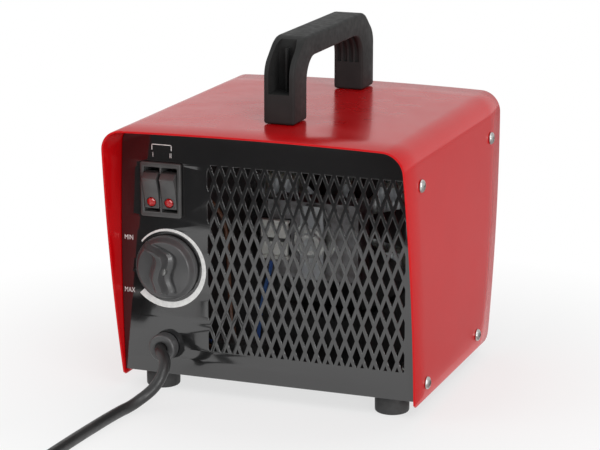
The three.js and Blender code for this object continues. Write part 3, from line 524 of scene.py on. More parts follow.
def smooth_step(value):
    value = min(1, max(0, value))
    return value * value * (3 - 2 * value)


# ---- Cord: straight out of the gland, down to the floor, into a tied coil, out to the plug ----
CORD_RADIUS = 3.3
CORD_LIE = CORD_RADIUS + 0.1
EXIT_Y = span("cord_gland", 1)[0]
GLAND_X = middle("cord_gland", 0)
GLAND_Z = middle("cord_gland", 2)
COIL_X = middle("cord_coil", 0)
COIL_Y = middle("cord_coil", 1)
COIL_TURNS = 5.5
CLIMB_FROM = 0.7  # share of a turn after which the cord moves over to the next one
TURN_RADII = (44.2, 37.5, 30.8)


def lead_route():
    return [
        (GLAND_X, REAR_FACE + 6, GLAND_Z), (GLAND_X, EXIT_Y, GLAND_Z), (-60.6, -81, 28.1),
        (-57.2, -84.9, 27), (-54.9, -88.4, 25.1), (-53.9, -91.7, 22.4), (-54.1, -94.6, 19.2),
        (-55.3, -97, 15.7), (-57.3, -99.3, 12.3), (-60.1, -102.1, 9.2), (-62.9, -105.4, 6.8),
        (-65.3, -109.1, 4.9), (-67.2, -113.2, 3.8), (-68.6, -117.5, CORD_LIE), (-70, -131, CORD_LIE),
        (-71.2, -150, CORD_LIE), (-72.4, -175, CORD_LIE), (-73.2, -202, CORD_LIE), (-73.7, -228, CORD_LIE),
        (-73.9, -251, CORD_LIE), (-73.9, -264, CORD_LIE),
    ]


def coil_route():
    """Five and a half turns, clockwise from above: three on the floor and the rest on them."""
    upper = CORD_LIE + 2 * CORD_RADIUS
    turns = [(r, CORD_LIE) for r in TURN_RADII] + [(r, upper) for r in TURN_RADII[::-1]]
    steps = 24
    route = []
    for k in range(int(COIL_TURNS * steps) + 1):
        turn, step = divmod(k, steps)
        radius, height = turns[turn]
        share = smooth_step((step / steps - CLIMB_FROM) / (1 - CLIMB_FROM))
        after = turns[min(turn + 1, len(turns) - 1)]
        angle = -2 * pi * step / steps
        radius += (after[0] - radius) * share
        height += (after[1] - height) * share
        route.append((COIL_X + radius * cos(angle), COIL_Y + radius * sin(angle), height))
    return route


def tail_route():
    """Off the coil's top turn, down past it and into the plug."""
    leaving = [
        (-162.3, 7, 9.9), (-162.3, 14, 9.6), (-162.3, 20, 8.4), (-162.3, 25, 6.2), (-161.6, 33, 4.3),
        (-160.1, 39, 3.8), (-158.6, 43, 4), (-158, 46.6, 4.4),
    ]
    return [(x, COIL_Y + from_coil, z) for x, from_coil, z in leaving]


def make_cord():
    curve = bpy.data.curves.new("mains_lead", "CURVE")
    curve.dimensions = "3D"
    curve.bevel_depth = CORD_RADIUS * MM
    curve.bevel_resolution = 6
    curve.resolution_u = 6
    curve.use_fill_caps = True
    route = lead_route() + coil_route() + tail_route()
    spline = curve.splines.new("BEZIER")
    spline.bezier_points.add(len(route) - 1)
    for point, place in zip(spline.bezier_points, route):
        point.co = mm(*place)
        point.handle_left_type = point.handle_right_type = "AUTO"
    curve.materials.append(CORD_SHEATH)
    cord = linked("mains_lead", curve)
    bpy.context.view_layer.update()
    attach(cord, CASING)
    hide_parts("mains_cord", "cord_coil", "cord_tail")
    return cord


def make_plug():
    """A round plug lying on its collar, with moulded grip rings and a tapered boot."""
    boot = 4.6
    collar = 44
    radius = 18.5
    past_coil = 47.7
    height = boot + 0.3
    lean = atan2(radius, collar) - asin(height / hypot(radius, collar))
    tilt = Matrix.Rotation(lean, 4, "X") @ AWAY_FROM_VIEWER
    place = at(middle("plug_body", 0), COIL_Y + past_coil, height) @ tilt
    boot_rings = []
    for i in range(6):
        z = 1 + 3 * i
        r = boot + 0.27 * i
        boot_rings += [(r, z), (r, z + 1.6), (r - 0.7, z + 1.9), (r - 0.7, z + 2.7)]
    profile = [(0, 0), (boot - 0.4, 0), *boot_rings, (6.2, 20), (8, 23), (12, 27), (14, 31), (15, 35)]
    profile += [(16, 39), (16.4, 42), (radius - 0.5, 43.6), (radius, 44.4), (radius, 61), (radius - 1, 62)]
    profile += [(15.5, 62), (15.2, 61.2), (0, 61.2)]
    body = shaded(turned(profile, 64))
    plug = piece("plug", moved(body, place), HANDLE_PLASTIC, replaces=["plug_body"])
    pins = []
    for side, name in ((-1, "left"), (1, "right")):
        pin = turned([(0, 61), (2, 61), (2, 71), (2.4, 71.4), (2.4, 79.5), (1.4, 81), (0, 81.2)], 32)
        pin = moved(shaded(pin), place @ at(side * 9.5, 0, 0))
        node = f"plug_pin_{name}"
        pins.append(piece(f"plug_{name}_pin", pin, BRIGHT_STEEL, replaces=[node]))
    return [plug, *pins]


def make_tie():
    """A flat strap round the coil's turns."""
    inner, outer = TURN_RADII[2] - CORD_RADIUS, TURN_RADII[0] + CORD_RADIUS
    top = CORD_LIE + 3 * CORD_RADIUS
    outline = rectangle(inner - 0.5, outer + 0.5, 0.1, top + 0.5, 3, 6)
    hole = rectangle(inner, outer, 0.6, top, 2.6, 6)
    strap = sheet_with_holes(outline, [hole], 7, 0.2)
    place = at(COIL_X, COIL_Y, 0) @ Matrix.Rotation(radians(75), 4, "Z") @ at(0, 3.5, 0)
    return piece("coil_tie", moved(shaded(strap), place), INNER_PLASTIC)


cord = make_cord()
plug_pieces = make_plug()
tie = make_tie()


# ---- Hood ----
def bulge(share, height):
    return 4 * height * share * (1 - share)


def hood_line(inset, bottom, wall_steps=16, bend_steps=12, top_steps=16):
    """The hood's section: up the right wall, over the top, down the left."""
    right = []
    for i in range(wall_steps + 1):
        z = bottom + (SPRINGING - bottom) * i / wall_steps
        x = HALF_WIDTH + bulge((z - HOOD_FOOT) / (SPRINGING - HOOD_FOOT), SIDE_BOW) - inset
        right.append((x, z))
    for i in range(1, bend_steps + 1):
        angle = pi / 2 * i / bend_steps
        radius = BEND - inset
        right.append((HALF_WIDTH - BEND + radius * cos(angle), SPRINGING + radius * sin(angle)))
    top = []
    for i in range(1, top_steps):
        share = i / top_steps
        top.append(((HALF_WIDTH - BEND) * (1 - 2 * share), CREST - inset + bulge(share, TOP_CROWN)))
    return right + top + [(-x, z) for x, z in right[::-1]]


def edge_place(z, top, rake, radius):
    """How far the hood reaches back or forwards at a height, with its lower corner rounded."""
    top = abs(top)
    slope = rake / (CREST - HOOD_FOOT)
    line = top - rake + slope * (min(z, CREST) - HOOD_FOOT)
    height = z - HOOD_FOOT
    lean = sqrt(1 + slope * slope)
    if height < radius * (1 - slope / lean):
        centre = top - rake + slope * radius - radius * lean
        return centre + sqrt(max(0, radius ** 2 - (radius - height) ** 2))
    return line


def make_hood():
    """Its foot is drawn with close rows so that the lower corners come out round."""
    section = hood_line(0, HOOD_FOOT, wall_steps=90)
    points = []
    columns = 9
    for x, z in section:
        back = -edge_place(z, HOOD_REAR, REAR_RAKE, TIP_RADIUS)
        front = edge_place(z, HOOD_FRONT, FRONT_RAKE, TOE_RADIUS)
        points += [(x, back + (front - back) * k / (columns - 1), z) for k in range(columns)]
    faces = []
    for i in range(len(section) - 1):
        for k in range(columns - 1):
            a = i * columns + k
            faces.append((a, a + 1, a + columns + 1, a + columns))
    data = shaded(mesh_of(points, faces))
    if data.polygons[len(data.polygons) // 2].normal.z < 0:
        data.flip_normals()
    solid = thickened(data, SHEET, offset=-1, use_even_offset=True)
    folded = shaded(bevelled(solid, 0.35, 2, 60), 40)
    piece("red_hood", folded, RED_PAINT, replaces=["hood"])


make_hood()


# ---- Inlet panel with its stretched mesh ----
MESH_LEFT = -35.8
MESH_PITCH = 6.9
MESH_RISE = 19.1
MESH_COLUMNS = 17
MESH_MARGIN = 0.7
MESH_RIGHT = MESH_LEFT + MESH_COLUMNS * MESH_PITCH + 2 * MESH_MARGIN
MESH_BOTTOM = 28.1
MESH_TOP = 137.9
MESH_FIRST_ROW = 1.05
DIAMOND_WIDTH = 4.7
DIAMOND_HEIGHT = 12.8


def clipped(outline, axis, limit, keep_above):
    """An outline cut off by a level line."""
    result = []
    for i, point in enumerate(outline):
        before = outline[i - 1]
        inside = (point[axis] > limit) == keep_above
        was_inside = (before[axis] > limit) == keep_above
        if inside != was_inside:
            share = (limit - before[axis]) / (point[axis] - before[axis])
            result.append(tuple(b + (p - b) * share for b, p in zip(before, point)))
        if inside:
            result.append(point)
    return result


def mesh_openings():
    openings = []
    for column in range(2 * MESH_COLUMNS + 1):
        x = MESH_LEFT + MESH_MARGIN + column * MESH_PITCH / 2
        z = MESH_TOP + MESH_FIRST_ROW - (0 if column % 2 else MESH_RISE / 2)
        while z > MESH_BOTTOM - DIAMOND_HEIGHT / 2:
            w, h = DIAMOND_WIDTH / 2, DIAMOND_HEIGHT / 2
            outline = [(x + w, z), (x, z + h), (x - w, z), (x, z - h)]
            for axis, limit, above in ((0, MESH_LEFT, True), (0, MESH_RIGHT, False),
                                       (1, MESH_BOTTOM, True), (1, MESH_TOP, False)):
                outline = clipped(outline, axis, limit, above)
            if len(outline) > 2:
                openings.append(outline)
            z -= MESH_RISE
    return openings


SWITCH_X, SWITCH_Z = -63.7, 121.8
KNOB_X = middle("knob", 0)
KNOB_Z = middle("knob", 2)


def rim_band(start, end):
    """The turned-in rim of a panel."""
    outer = hood_line(PANEL_INSET, PANEL_FOOT)
    inner = hood_line(PANEL_INSET + PANEL_SHEET, PANEL_FOOT)
    return prism(outer + inner[::-1], start, end, "Y")


def circle(x, z, radius, count=32):
    angles = [2 * pi * i / count for i in range(count)]
    return [(x + radius * cos(a), z + radius * sin(a)) for a in angles]


def make_inlet_panel():
    """The control side: holes for the switch, knob and cord, and the stretched mesh."""
    u, v = 11.3, 14.3
    spindle_hole, gland_hole = 4, 5.9
    edge = 0.34
    holes = mesh_openings()
    holes.append(rectangle(SWITCH_X - u, SWITCH_X + u, SWITCH_Z - v, SWITCH_Z + v, 0.3, 2))
    holes.append(circle(KNOB_X, KNOB_Z, spindle_hole))
    holes.append(circle(GLAND_X, GLAND_Z, gland_hole))
    face = sheet_with_holes(hood_line(PANEL_INSET, PANEL_FOOT), holes, PANEL_SHEET, edge)
    face = moved(face, at(0, REAR_FACE + PANEL_SHEET, 0))
    data = shaded(merged(face, rim_band(REAR_FACE + PANEL_SHEET - edge, REAR_RIM)), 50)
    piece("black_inlet_panel", data, BLACK_PAINT, replaces=["inlet_panel"])


def make_outlet_panel():
    """Two banks of slots."""
    rows, pitch, height, width, gap, mid_z = 12, 8, 5, 68, 8, 84
    holes = []
    for row in range(rows):
        z = mid_z + (row - (rows - 1) / 2) * pitch
        for side in (-1, 1):
            x = side * (width + gap) / 2
            holes.append(rectangle(x - width / 2, x + width / 2, z - height / 2, z + height / 2, 1.6, 4))
    face = sheet_with_holes(hood_line(PANEL_INSET, PANEL_FOOT), holes, PANEL_SHEET, 0.22)
    face = moved(face, at(0, FRONT_FACE, 0))
    data = shaded(merged(face, rim_band(FRONT_RIM, FRONT_FACE - PANEL_SHEET + 0.2)), 30)
    piece("black_outlet_panel", data, BLACK_PAINT, replaces=["outlet_panel"])


make_inlet_panel()
make_outlet_panel()


# ---- Screws with a cross recess ----
def screw_mesh(length):
    """Head towards +Z, seat at the origin."""
    profile = [(0, -length), (1.5, -length), (1.9, -length + 1), (1.9, 0), (3.6, 0), (3.7, 0.25)]
    profile += [(3.7 * cos(a), 0.35 + 1.8 * sin(a)) for a in (0.25, 0.5, 0.75, 1.0, 1.25)] + [(0, 2.15)]
    arm = rounded([(-0.5, -2.1, 0.3), (0.5, -2.1, 0.3), (0.5, 2.1, 0.3), (-0.5, 2.1, 0.3)], 3)
    slots = [prism(arm, 0.9, 4), moved(prism(arm, 0.9, 4), Matrix.Rotation(pi / 2, 4, "Z"))]
    return shaded(carved(turned(profile, 32), *slots), 30)


def make_screws():
    towards = {
        "screw_left": Matrix.Rotation(-pi / 2, 4, "Y"), "screw_right": Matrix.Rotation(pi / 2, 4, "Y"),
        "foot_screw": Matrix.Rotation(pi, 4, "X"), "handle_screw": Matrix.Rotation(pi, 4, "X"),
    }
    head = 2.2
    length = 8
    for number, name in enumerate(sorted(n for n in NODES if n.startswith(tuple(towards)))):
        kind = next(k for k in towards if name.startswith(k))
        low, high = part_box(name)
        centre = (low + high) / 2 / MM
        seat = {
            "screw_left": (low.x / MM + head, centre.y, centre.z),
            "screw_right": (high.x / MM - head, centre.y, centre.z),
            "foot_screw": (centre.x, centre.y, low.z / MM + head),
            "handle_screw": (centre.x, centre.y, low.z / MM + head),
        }[kind]
        spin = Matrix.Rotation(0.7 + 0.9 * number, 4, "Z")
        data = moved(screw_mesh(length), at(*seat) @ towards[kind] @ spin)
        piece(f"{name}_head", data, BRIGHT_STEEL, replaces=[name])


make_screws()


# ---- Feet ----
def make_feet():
    edge = [(8.4 + 1.5 * sin(a), 1.5 - 1.5 * cos(a)) for a in (0, 0.3, 0.6, 0.9, 1.2, 1.5)]
    recess = [(2.2, 4), (4.6, 4), (5, 3.6), (5, 0.4), (5.4, 0)]
    profile = [*recess, *edge, (10, 10.8), (9.6, 11.3), (2.2, 11.3), (2.2, 4)]
    for name in sorted(n for n in NODES if n.startswith("foot_") and "screw" not in n):
        data = moved(turned(profile, 48), at(middle(name, 0), middle(name, 1), 0))
        piece(f"{name}_rubber", shaded(data, 40), RUBBER, replaces=[name])


make_feet()


# ---- Handle ----
def handle_pocket(side, end, wall, top):
    """A deep recess in the outer face of a leg, arched at its top."""
    arch = [(-wall, 17), (wall, 17), (wall, top - 7)]
    arch += [(wall * cos(a), top - 7 + 8.5 * sin(a)) for a in (0.3, 0.6, 0.9, 1.2, 1.57)]
    arch += [(-x, z) for x, z in arch[:1:-1]][1:]
    reach = sorted((-side * (end + 2), -side * (end - 17)))
    return prism(arch, *reach, "Y")


def grip_flutes(end, leg, reach):
    """Grooves for the fingers under the grip, running out on the inner faces of the legs."""
    deep = 1.3
    side = end - leg + deep
    outline = rounded([
        (-side, 17, 0), (-side, reach + deep, 14 + deep), (side, reach + deep, 14 + deep), (side, 17, 0),
    ], 14)
    return [prism(outline, x - 1.2, x + 1.2, "X") for x in (-5.7, -1.9, 1.9, 5.7)]


def make_handle():
    """A grip between two legs, hollow in the outer faces of the legs and fluted inside."""
    low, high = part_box("handle")
    end = (high.y - low.y) / 2 / MM
    half = (high.x - low.x) / 2 / MM
    top = (high.z - low.z) / MM
    leg = 21
    reach = 35
    arch = rounded([
        (-end, 0, 0), (leg - end, 0, 0), (leg - end, reach, 14), (end - leg, reach, 14),
        (end - leg, 0, 0), (end, 0, 0), (end, top - 14.5, 14), (end - 17, top, 18),
        (17 - end, top, 18), (-end, top - 14.5, 14),
    ], 14)
    body = bevelled(prism(arch, -half, half, "X"), 1.5, 4, 50)
    pockets = [handle_pocket(side, end, half - 3, top) for side in (-1, 1)]
    body = carved(body, *pockets, *grip_flutes(end, leg, reach))
    ribs = []
    for side in (-1, 1):
        near, far = sorted((side * (end - 12), side * (end - 17.5)))
        ribs.append(block(-0.6, 0.6, near, far, 16.5, top - 6))
    place = at(middle("handle", 0), middle("handle", 1), low.z / MM)
    data = shaded(moved(merged(body, *ribs), place), 40)
    piece("carrying_handle", data, HANDLE_PLASTIC, replaces=["handle"])


make_handle()


# ---- Switch ----
ROCKER_SPACING = 10.9
ROCKER_WIDTH = 9
ROCKER_TILT = radians(13)
SWITCH_FRONT = span("switch_housing", 1)[0]
PIVOT_Y = SWITCH_FRONT + 5.8


def make_switch_housing():
    """A bezel, two wells for the rockers, and the body with its blades behind the panel."""
    middles = [side * ROCKER_SPACING / 2 for side in (-1, 1)]
    wells = [rectangle(x - 4.8, x + 4.8, -13, 13, 0.4, 2) for x in middles]
    bezel = sheet_with_holes(rectangle(-12.5, 12.5, -16, 16, 1.2), wells, 2.4, 0.55)
    walls = sheet_with_holes(rectangle(-11, 11, -14, 14, 0.5, 2), wells, 12, 0.05)
    back = block(-11, 11, 14.2, 22.4, -14, 14)
    blades = [block(x - 2.4, x + 2.4, 22, 30.4, z - 0.4, z + 0.4) for x in middles for z in (-8, 0, 8)]
    data = merged(moved(bezel, at(0, 2.4, 0)), moved(walls, at(0, 14.4, 0)), back, *blades)
    data = shaded(moved(data, at(SWITCH_X, SWITCH_FRONT, SWITCH_Z)), 30)
    piece("switch_bezel", data, SWITCH_PLASTIC, replaces=["switch_housing"])


def make_rocker(side, name):
    """Its face dips between two ridges; the lamp window sits in the lower half."""
    dip = [(-8.55 + 1.15 * cos(pi * k / 18) ** 0.5, k) for k in range(-8, 9)]
    face = [(-8.6, -9), *dip, (-8.6, 9)]
    outline = [(-4.6, -11.5), *face, (-4.6, 11.5), (1, 10.5), (5.4, 4), (5.4, -4), (1, -10.5)]
    body = bevelled(prism(outline, -ROCKER_WIDTH / 2, ROCKER_WIDTH / 2, "X"), 0.4, 3, 35)
    window = moved(turned([(0, 0), (3, 0), (3, 8), (0, 8)], 40), at(0, -6.4, -5.6) @ TOWARDS_VIEWER)
    body = carved(body, window)
    pivot = at(SWITCH_X + side * ROCKER_SPACING / 2, PIVOT_Y, SWITCH_Z)
    place = pivot @ Matrix.Rotation(ROCKER_TILT, 4, "X")
    piece(
        f"{name}_rocker_key", moved(shaded(body, 30), place), SWITCH_PLASTIC,
        body=f"{name}_rocker", replaces=[f"rocker_{name}"])
    facets = 8
    lens = turned([(0, 0), (2.7, 0), (2.7, 1.5), (2.2, 2.1), (1.1, 2.6), (0, 2.75)], facets)
    lens = moved(lens, at(0, -6.5, -5.6) @ TOWARDS_VIEWER @ Matrix.Rotation(pi / facets, 4, "Z"))
    piece(
        f"{name}_lamp_lens", moved(shaded(lens, 5), place), RED_LENS,
        body=f"{name}_rocker", replaces=[f"lens_{name}"])


make_switch_housing()
make_rocker(-1, "left")
make_rocker(1, "right")


# ---- Knob ----
KNOB_RADIUS = 19


def grip_edge(v):
    """Right edge of the grip: it waves down the dial and hooks to the left at its top."""
    hook = max(0, v - 7.5) / 5.5
    return 2.1 + 1.1 * cos(2 * pi * (v - 5.6) / 19) - 7 * hook * hook


def knob_height(u, v):
    """Height of the knob's face: a low dome with a curved grip that rises out of it."""
    r = hypot(u, v)
    dome = 7.4 + 1.8 * (1 - (r / 17) ** 2) - 3.4 * smooth_step((r - 15.6) / 3.2)
    edge = grip_edge(v)
    crown = 15.8 - 1.6 * (v / 15) ** 2
    steep = smooth_step((edge + 0.6 - u) / 1.5)
    gentle = smooth_step((u - edge + 9.5) / 6)
    ends = smooth_step((15.2 - abs(v)) / 3.5)
    scoop = 1.5 * smooth_step(1 - abs(u - edge - 3.2) / 3) * ends
    rise = max(0, crown - dome) * steep * gentle * ends
    return dome - scoop * (1 - steep) + rise


def make_knob():
    """A face of fine rings that follows knob_height, over a hollow skirt."""
    rings = 76
    sides = 180
    face_radius = KNOB_RADIUS - 0.7
    points = [(0, 0, knob_height(0, 0))]
    for i in range(1, rings + 1):
        r = face_radius * i / rings
        for k in range(sides):
            angle = 2 * pi * k / sides
            u, v = r * cos(angle), r * sin(angle)
            points.append((u, v, knob_height(u, v)))
    skirt = [
        (KNOB_RADIUS - 0.2, 3.9), (KNOB_RADIUS, 3.3), (KNOB_RADIUS, 1.2), (KNOB_RADIUS - 0.3, 0.8),
        (17.2, 0.8), (17, 2), (3.3, 2), (3.3, 9),
    ]
    for r, h in skirt:
        points += [(r * cos(2 * pi * k / sides), r * sin(2 * pi * k / sides), h) for k in range(sides)]
    points.append((0, 0, 9))
    faces = []
    for k in range(sides):
        n = (k + 1) % sides
        faces.append((0, 1 + k, 1 + n))
        for i in range(rings + len(skirt) - 1):
            a = 1 + i * sides
            faces.append((a + k, a + sides + k, a + sides + n, a + n))
        last = 1 + (rings + len(skirt) - 1) * sides
        faces.append((last + k, len(points) - 1, last + n))
    data = shaded(moved(mesh_of(points, faces), at(KNOB_X, REAR_FACE, KNOB_Z) @ TOWARDS_VIEWER), 40)
    piece(
        "thermostat_dial", data, KNOB_PLASTIC,
        body="thermostat_knob", replaces=["knob"])


make_knob()


# ---- Printed marks ----
PRINT_Y = REAR_FACE - 0.03


def make_scale():
    """A crescent round the knob that widens clockwise from least to most heat."""
    steps = 96
    start, sweep = radians(140.6), radians(277.2)
    points = []
    for i in range(steps + 1):
        share = i / steps
        angle = start - sweep * share
        for radius in (21, 21.9 + 3.2 * share):
            points.append((KNOB_X + radius * cos(angle), PRINT_Y, KNOB_Z + radius * sin(angle)))
    faces = [(2 * i, 2 * i + 1, 2 * i + 3, 2 * i + 2) for i in range(steps)]
    piece("heat_scale", shaded(mesh_of(points, faces)), PRINTED_WHITE)


def make_text(name, words, x, z, size):
    narrow = 0.75
    curve = bpy.data.curves.new(name, "FONT")
    curve.body = words
    curve.size = size * MM
    curve.align_x = "CENTER"
    curve.align_y = "CENTER"
    data = finished_mesh(curve)
    place = at(x, PRINT_Y, z) @ TOWARDS_VIEWER @ Matrix.Diagonal((narrow, 1, 1, 1))
    piece(name, moved(data, place), PRINTED_WHITE)


def make_bracket():
    """A thin bracket over the switch that joins its two halves."""
    low, high, line = 144.5, 148, 0.45
    left, right = -70, -57.5
    bars = [
        (left, right, high - line, high), (left, left + line, low, high),
        (right - line, right, low, high),
    ]
    points = []
    faces = []
    for x0, x1, z0, z1 in bars:
        n = len(points)
        points += [(x0, PRINT_Y, z0), (x1, PRINT_Y, z0), (x1, PRINT_Y, z1), (x0, PRINT_Y, z1)]
        faces.append((n, n + 1, n + 2, n + 3))
    piece("switch_bracket", mesh_of(points, faces), PRINTED_WHITE)


make_scale()
make_bracket()
make_text("mark_min", "MIN", -85.2, 91.5, 4.2)
make_text("mark_max", "MAX", -85.2, 60, 4.2)
make_text("mark_one", "I", -69.2, 141.6, 4)
make_text("mark_two", "II", -58.2, 141.6, 4)


# ---- Gland ----
def make_gland():
    """A round nose on the panel and a tapered tail behind it, with a bore for the cord."""
    bore = CORD_RADIUS + 0.15
    nose = [(8.25 - 1.6 + 1.6 * sin(a), 1.6 - 1.6 * cos(a)) for a in (0, 0.3, 0.6, 0.9, 1.2, 1.57)]
    profile = [(bore, 12), (bore, 0.9), (bore + 0.5, 0.25), (bore + 1, 0), (6.0, 0)]
    profile += [*nose, (8.25, 6.6), (7.9, 7)]
    profile += [(5.6, 7), (5.6, 8.6), (7, 8.6), (6.4, 11), (5.4, 17), (4.6, 23.6), (bore, 23.6), (bore, 12)]
    data = moved(turned(profile, 56), at(GLAND_X, EXIT_Y, GLAND_Z) @ AWAY_FROM_VIEWER)
    piece("cord_grip", shaded(data, 35), KNOB_PLASTIC, replaces=["cord_gland"])


make_gland()


# ---- Fan and motor ----
FAN_X = middle("fan", 0)
FAN_Z = 86.6


def make_fan():
    """Six twisted blades on a stepped hub."""
    start, end = span("fan", 1)
    depth = end - start
    root, tip = 14, 53.6
    profile = [(0, 0), (root, 0), (15, 1), (15, depth - 3), (root, depth - 1), (12, depth), (0, depth)]
    parts = [moved(shaded(turned(profile, 48)), AWAY_FROM_VIEWER)]
    blades, across, along = 6, 10, 12
    for b in range(blades):
        points = []
        for i in range(along + 1):
            r = root + (tip - root) * i / along
            twist = radians(52 - 26 * i / along)
            chord = 16 + 16 * i / along
            for k in range(across + 1):
                s = (k / across - 0.5) * chord
                camber = 1.8 * (1 - (2 * k / across - 1) ** 2)
                angle = 2 * pi * b / blades + (s * cos(twist) + 2 * (i / along) ** 2) / r
                y = depth / 2 + s * sin(twist) * 0.55 - camber * 0.5
                points.append((r * cos(angle), y, r * sin(angle)))
        row = across + 1
        faces = [
            (i * row + k, i * row + k + 1, (i + 1) * row + k + 1, (i + 1) * row + k)
            for i in range(along) for k in range(across)
        ]
        sheet = shaded(mesh_of(points, faces))
        parts.append(thickened(sheet, 1.4, offset=0))
    data = shaded(moved(merged(*parts), at(FAN_X, start, FAN_Z)), 40)
    piece("fan_wheel", data, INNER_PLASTIC, body="fan_rotor", replaces=["fan"])


def make_bobbin():
    """Winding between two moulded cheeks, with a taped band round its middle."""
    low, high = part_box("motor_coil")
    x0, y0, z0 = (v / MM for v in low)
    x1, y1, z1 = (v / MM for v in high)
    cheek, depth = 2, 4.4
    cheeks = [
        bevelled(block(x0, x1, y, y + depth, z, z + cheek), 0.4, 2, 40)
        for y in (y0, y1 - depth) for z in (z0, z1 - cheek)
    ]
    piece("bobbin_cheeks", shaded(merged(*cheeks), 30), NYLON)
    mid_z = (z0 + z1) / 2
    turns = [
        bevelled(block(x0 + 0.6, x1 - 0.6, a, b, z0 + cheek, z1 - cheek), 1.2, 3, 40)
        for a, b in ((y0 + 0.5, y0 + depth), (y1 - depth, y1 - 0.5))
    ]
    piece("bobbin_tape", shaded(merged(*turns), 30), NYLON, replaces=["motor_coil"])
    bar = bevelled(block(x0 + 0.2, x1 - 0.2, y0 + 0.1, y0 + 1.4, mid_z - 1.2, mid_z + 1.2), 0.3, 2, 40)
    piece("bobbin_band", shaded(bar, 30), INNER_PLASTIC)


def make_bearing_cap():
    """A polished pressed cap over the rear bearing."""
    bridge = span("motor_bridge_rear", 1)[0]
    profile = [(2.4, 0.8), (3.4, 0.8), (4, 0), (6.2, 0), (7, 0.8), (7, 2.6), (8.6, 3.2), (8.6, 3.6)]
    profile += [(2.4, 3.6), (2.4, 0.8)]
    data = moved(turned(profile, 48), at(FAN_X, bridge - 0.3, FAN_Z) @ AWAY_FROM_VIEWER)
    piece("bearing_cap", shaded(data, 30), BRIGHT_STEEL)


make_fan()
make_bobbin()
make_bearing_cap()


# ---- Heating element ----
def make_heater_fins():
    """Corrugated aluminium between the rails of the element."""
    low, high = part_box("ceramic_heater")
    x0, y0, z0 = (v / MM for v in low)
    x1, y1, z1 = (v / MM for v in high)
    rows, bar, count = 4, 2.5, 88
    pitch = (z1 - z0 - bar) / rows
    parts = []
    for row in range(rows):
        bottom = z0 + bar + row * pitch + 0.1
        top = bottom + pitch - bar - 0.2
        points = []
        for i in range(count + 1):
            x = x0 + bar + (x1 - x0 - 2 * bar) * i / count
            z = top if i % 2 else bottom
            points += [(x, y0 + 1, z), (x, y1 - 1, z)]
        faces = [(2 * i, 2 * i + 2, 2 * i + 3, 2 * i + 1) for i in range(count)]
        parts.append(thickened(mesh_of(points, faces), 0.25, offset=0))
    piece("heater_fins", merged(*parts), ALUMINIUM)


make_heater_fins()


# ---- Carried CAD nodes ----
CARRIED = {
    "base_pan": BLACK_PAINT, "fan_shroud": INNER_PLASTIC, "heater_frame": INNER_PLASTIC,
    "motor_core": IRON, "motor_bridge_rear": ZINC, "motor_bridge_front": ZINC, "motor_rotor": BRIGHT_STEEL,
    "ceramic_heater": CERAMIC, "thermal_cutout": CERAMIC, "terminal_block": INNER_PLASTIC,
    "thermostat": CERAMIC, "thermostat_spindle": BRIGHT_STEEL, "earth_screw": BRIGHT_STEEL,
    "wire_supply": BROWN_WIRE, "wire_switch": BROWN_WIRE, "wire_motor": BLUE_WIRE, "wire_heater": BLUE_WIRE,
}
for node, look in CARRIED.items():
    NODES[node].data.materials.clear()
    NODES[node].data.materials.append(look)


# ---- Studio ----
def backdrop_world():
    """A pale room that lights the heater. The camera sees plain white, and gloss sees nearly that."""
    room_strength = 0.45
    white_in_gloss = 0.6
    world = bpy.data.worlds.new("studio")
    bpy.context.scene.world = world
    world.use_nodes = True
    nodes = world.node_tree.nodes
    links = world.node_tree.links
    room = nodes["Background"]
    room.inputs["Color"].default_value = (1, 1, 1, 1)
    room.inputs["Strength"].default_value = room_strength
    seen = nodes.new("ShaderNodeBackground")
    seen.inputs["Color"].default_value = (1, 1, 1, 1)
    seen.inputs["Strength"].default_value = 1
    path = nodes.new("ShaderNodeLightPath")
    either = nodes.new("ShaderNodeMath")
    either.operation = "MAXIMUM"
    mix = nodes.new("ShaderNodeMixShader")
    links.new(path.outputs["Is Camera Ray"], either.inputs[0])
    links.new(path.outputs["Is Transmission Ray"], either.inputs[1])
    gloss = nodes.new("ShaderNodeMath")
    gloss.operation = "MULTIPLY"
    gloss.inputs[1].default_value = white_in_gloss
    most = nodes.new("ShaderNodeMath")
    most.operation = "MAXIMUM"
    links.new(path.outputs["Is Glossy Ray"], gloss.inputs[0])
    links.new(gloss.outputs[0], most.inputs[0])
    links.new(either.outputs[0], most.inputs[1])
    links.new(most.outputs[0], mix.inputs["Fac"])
    links.new(room.outputs[0], mix.inputs[1])
    links.new(seen.outputs[0], mix.inputs[2])
    links.new(mix.outputs[0], nodes["World Output"].inputs["Surface"])


def lamp(name, place, aim, size, power):
    data = bpy.data.lights.new(name, "AREA")
    data.shape = "SQUARE"
    data.size = size
    data.energy = power
    obj = linked(name, data)
    obj.location = place
    obj.rotation_euler = (Vector(aim) - Vector(place)).to_track_quat("-Z", "Y").to_euler()


def flat(name, corners, material):
    """A flat stage card through its corners, in metres."""
    data = bpy.data.meshes.new(name)
    data.from_pydata(corners, [], [range(len(corners))])
    obj = linked(name, data)
    data.materials.append(material)
    return obj


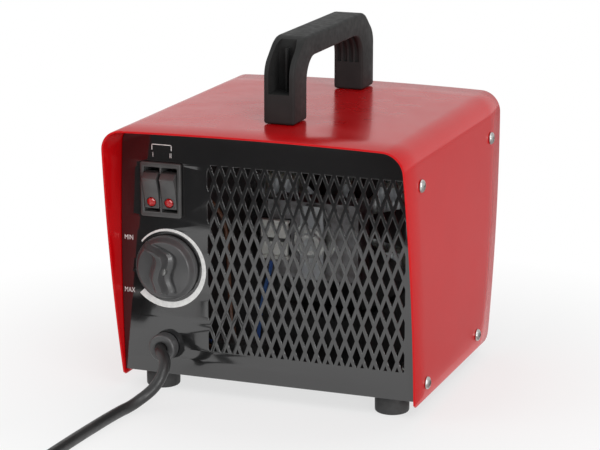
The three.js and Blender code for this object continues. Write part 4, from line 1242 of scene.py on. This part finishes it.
def make_floor():
    """A pale table that fades to plain white away from the heater."""
    s = Shader("table_top", (0.86, 0.86, 0.86), 0.6)
    distance = s.nodes.new("ShaderNodeVectorMath")
    distance.operation = "LENGTH"
    s.link(s.place, distance.inputs[0])
    fade = s.remap(distance.outputs["Value"], 0.68, 1, 0.12, 0.3)
    white = s.nodes.new("ShaderNodeEmission")
    mix = s.nodes.new("ShaderNodeMixShader")
    s.link(fade, mix.inputs["Fac"])
    s.link(s.principled.outputs[0], mix.inputs[1])
    s.link(white.outputs[0], mix.inputs[2])
    s.link(mix.outputs[0], s.nodes["Material Output"].inputs["Surface"])
    flat("table", [(-2.5, -2.5, 0), (2.5, -2.5, 0), (2.5, 2.5, 0), (-2.5, 2.5, 0)], s.material)


def mirrored_only(obj):
    """Leaves a card to the gloss surfaces: it is mirrored, but neither seen nor casting a shadow."""
    obj.visible_camera = False
    obj.visible_shadow = False
    obj.visible_diffuse = False
    obj.visible_transmission = False


def make_dark_room():
    """The dark room in front of the table and left of it, for the gloss black to mirror."""
    s = Shader("room_grey", (0.03, 0.03, 0.031), 0.9)
    left, front, high, far = -0.22, -0.5, 0.0008, 4
    corners = [
        (-far, -far, high), (far, -far, high), (far, front - 0.1, high), (left, front + 0.04, high),
        (left, -0.1, high), (-far, -0.1, high),
    ]
    mirrored_only(flat("dark_room", corners, s.material))


def make_side_card():
    """A grey card on the table behind and to the right, which the hood's right wall mirrors."""
    s = Shader("card_grey", (0.55, 0.55, 0.55), 0.9)
    near, far, start, end, high = 0.1, 1.2, -0.1, 2, 0.0008
    corners = [(near, start, high), (far, start, high), (far, end, high), (near, end, high)]
    mirrored_only(flat("side_card", corners, s.material))


def make_coil_lid():
    """A faintly glowing white lid over the coil of spare cord, seen only in reflections: a painted
    reflection of the white table, so that the gloss black doesn't mirror the coil.
    """
    outer = TURN_RADII[0] + CORD_RADIUS + 1.5
    s = Shader("lid_white", (0.9, 0.9, 0.9), 0.8)
    # Painted reflection: the lid glows faintly, so the gloss black mirrors it as white table.
    s.put("Emission Color", (1, 1, 1, 1))
    s.put("Emission Strength", 0.3)
    data = block(COIL_X - outer, COIL_X + outer, COIL_Y - outer, COIL_Y + outer, 0.2, 15)
    lid = linked("coil_lid", data)
    data.materials.append(s.material)
    mirrored_only(lid)


backdrop_world()
make_floor()
make_dark_room()
make_side_card()
make_coil_lid()
lamp("key", (1.3, -1.4, 1.9), (0, 0, 0.08), 1.2, 16)
lamp("fill", (-1.6, -1.2, 1.2), (0, 0, 0.08), 1.2, 6)
lamp("top", (0.1, 0.5, 1.9), (0, 0, 0.1), 1.4, 3)
lamp("low", (1.5, -1.5, 0.25), (0, 0, 0.08), 0.8, 18)
bpy.context.scene.view_settings.view_transform = "Standard"
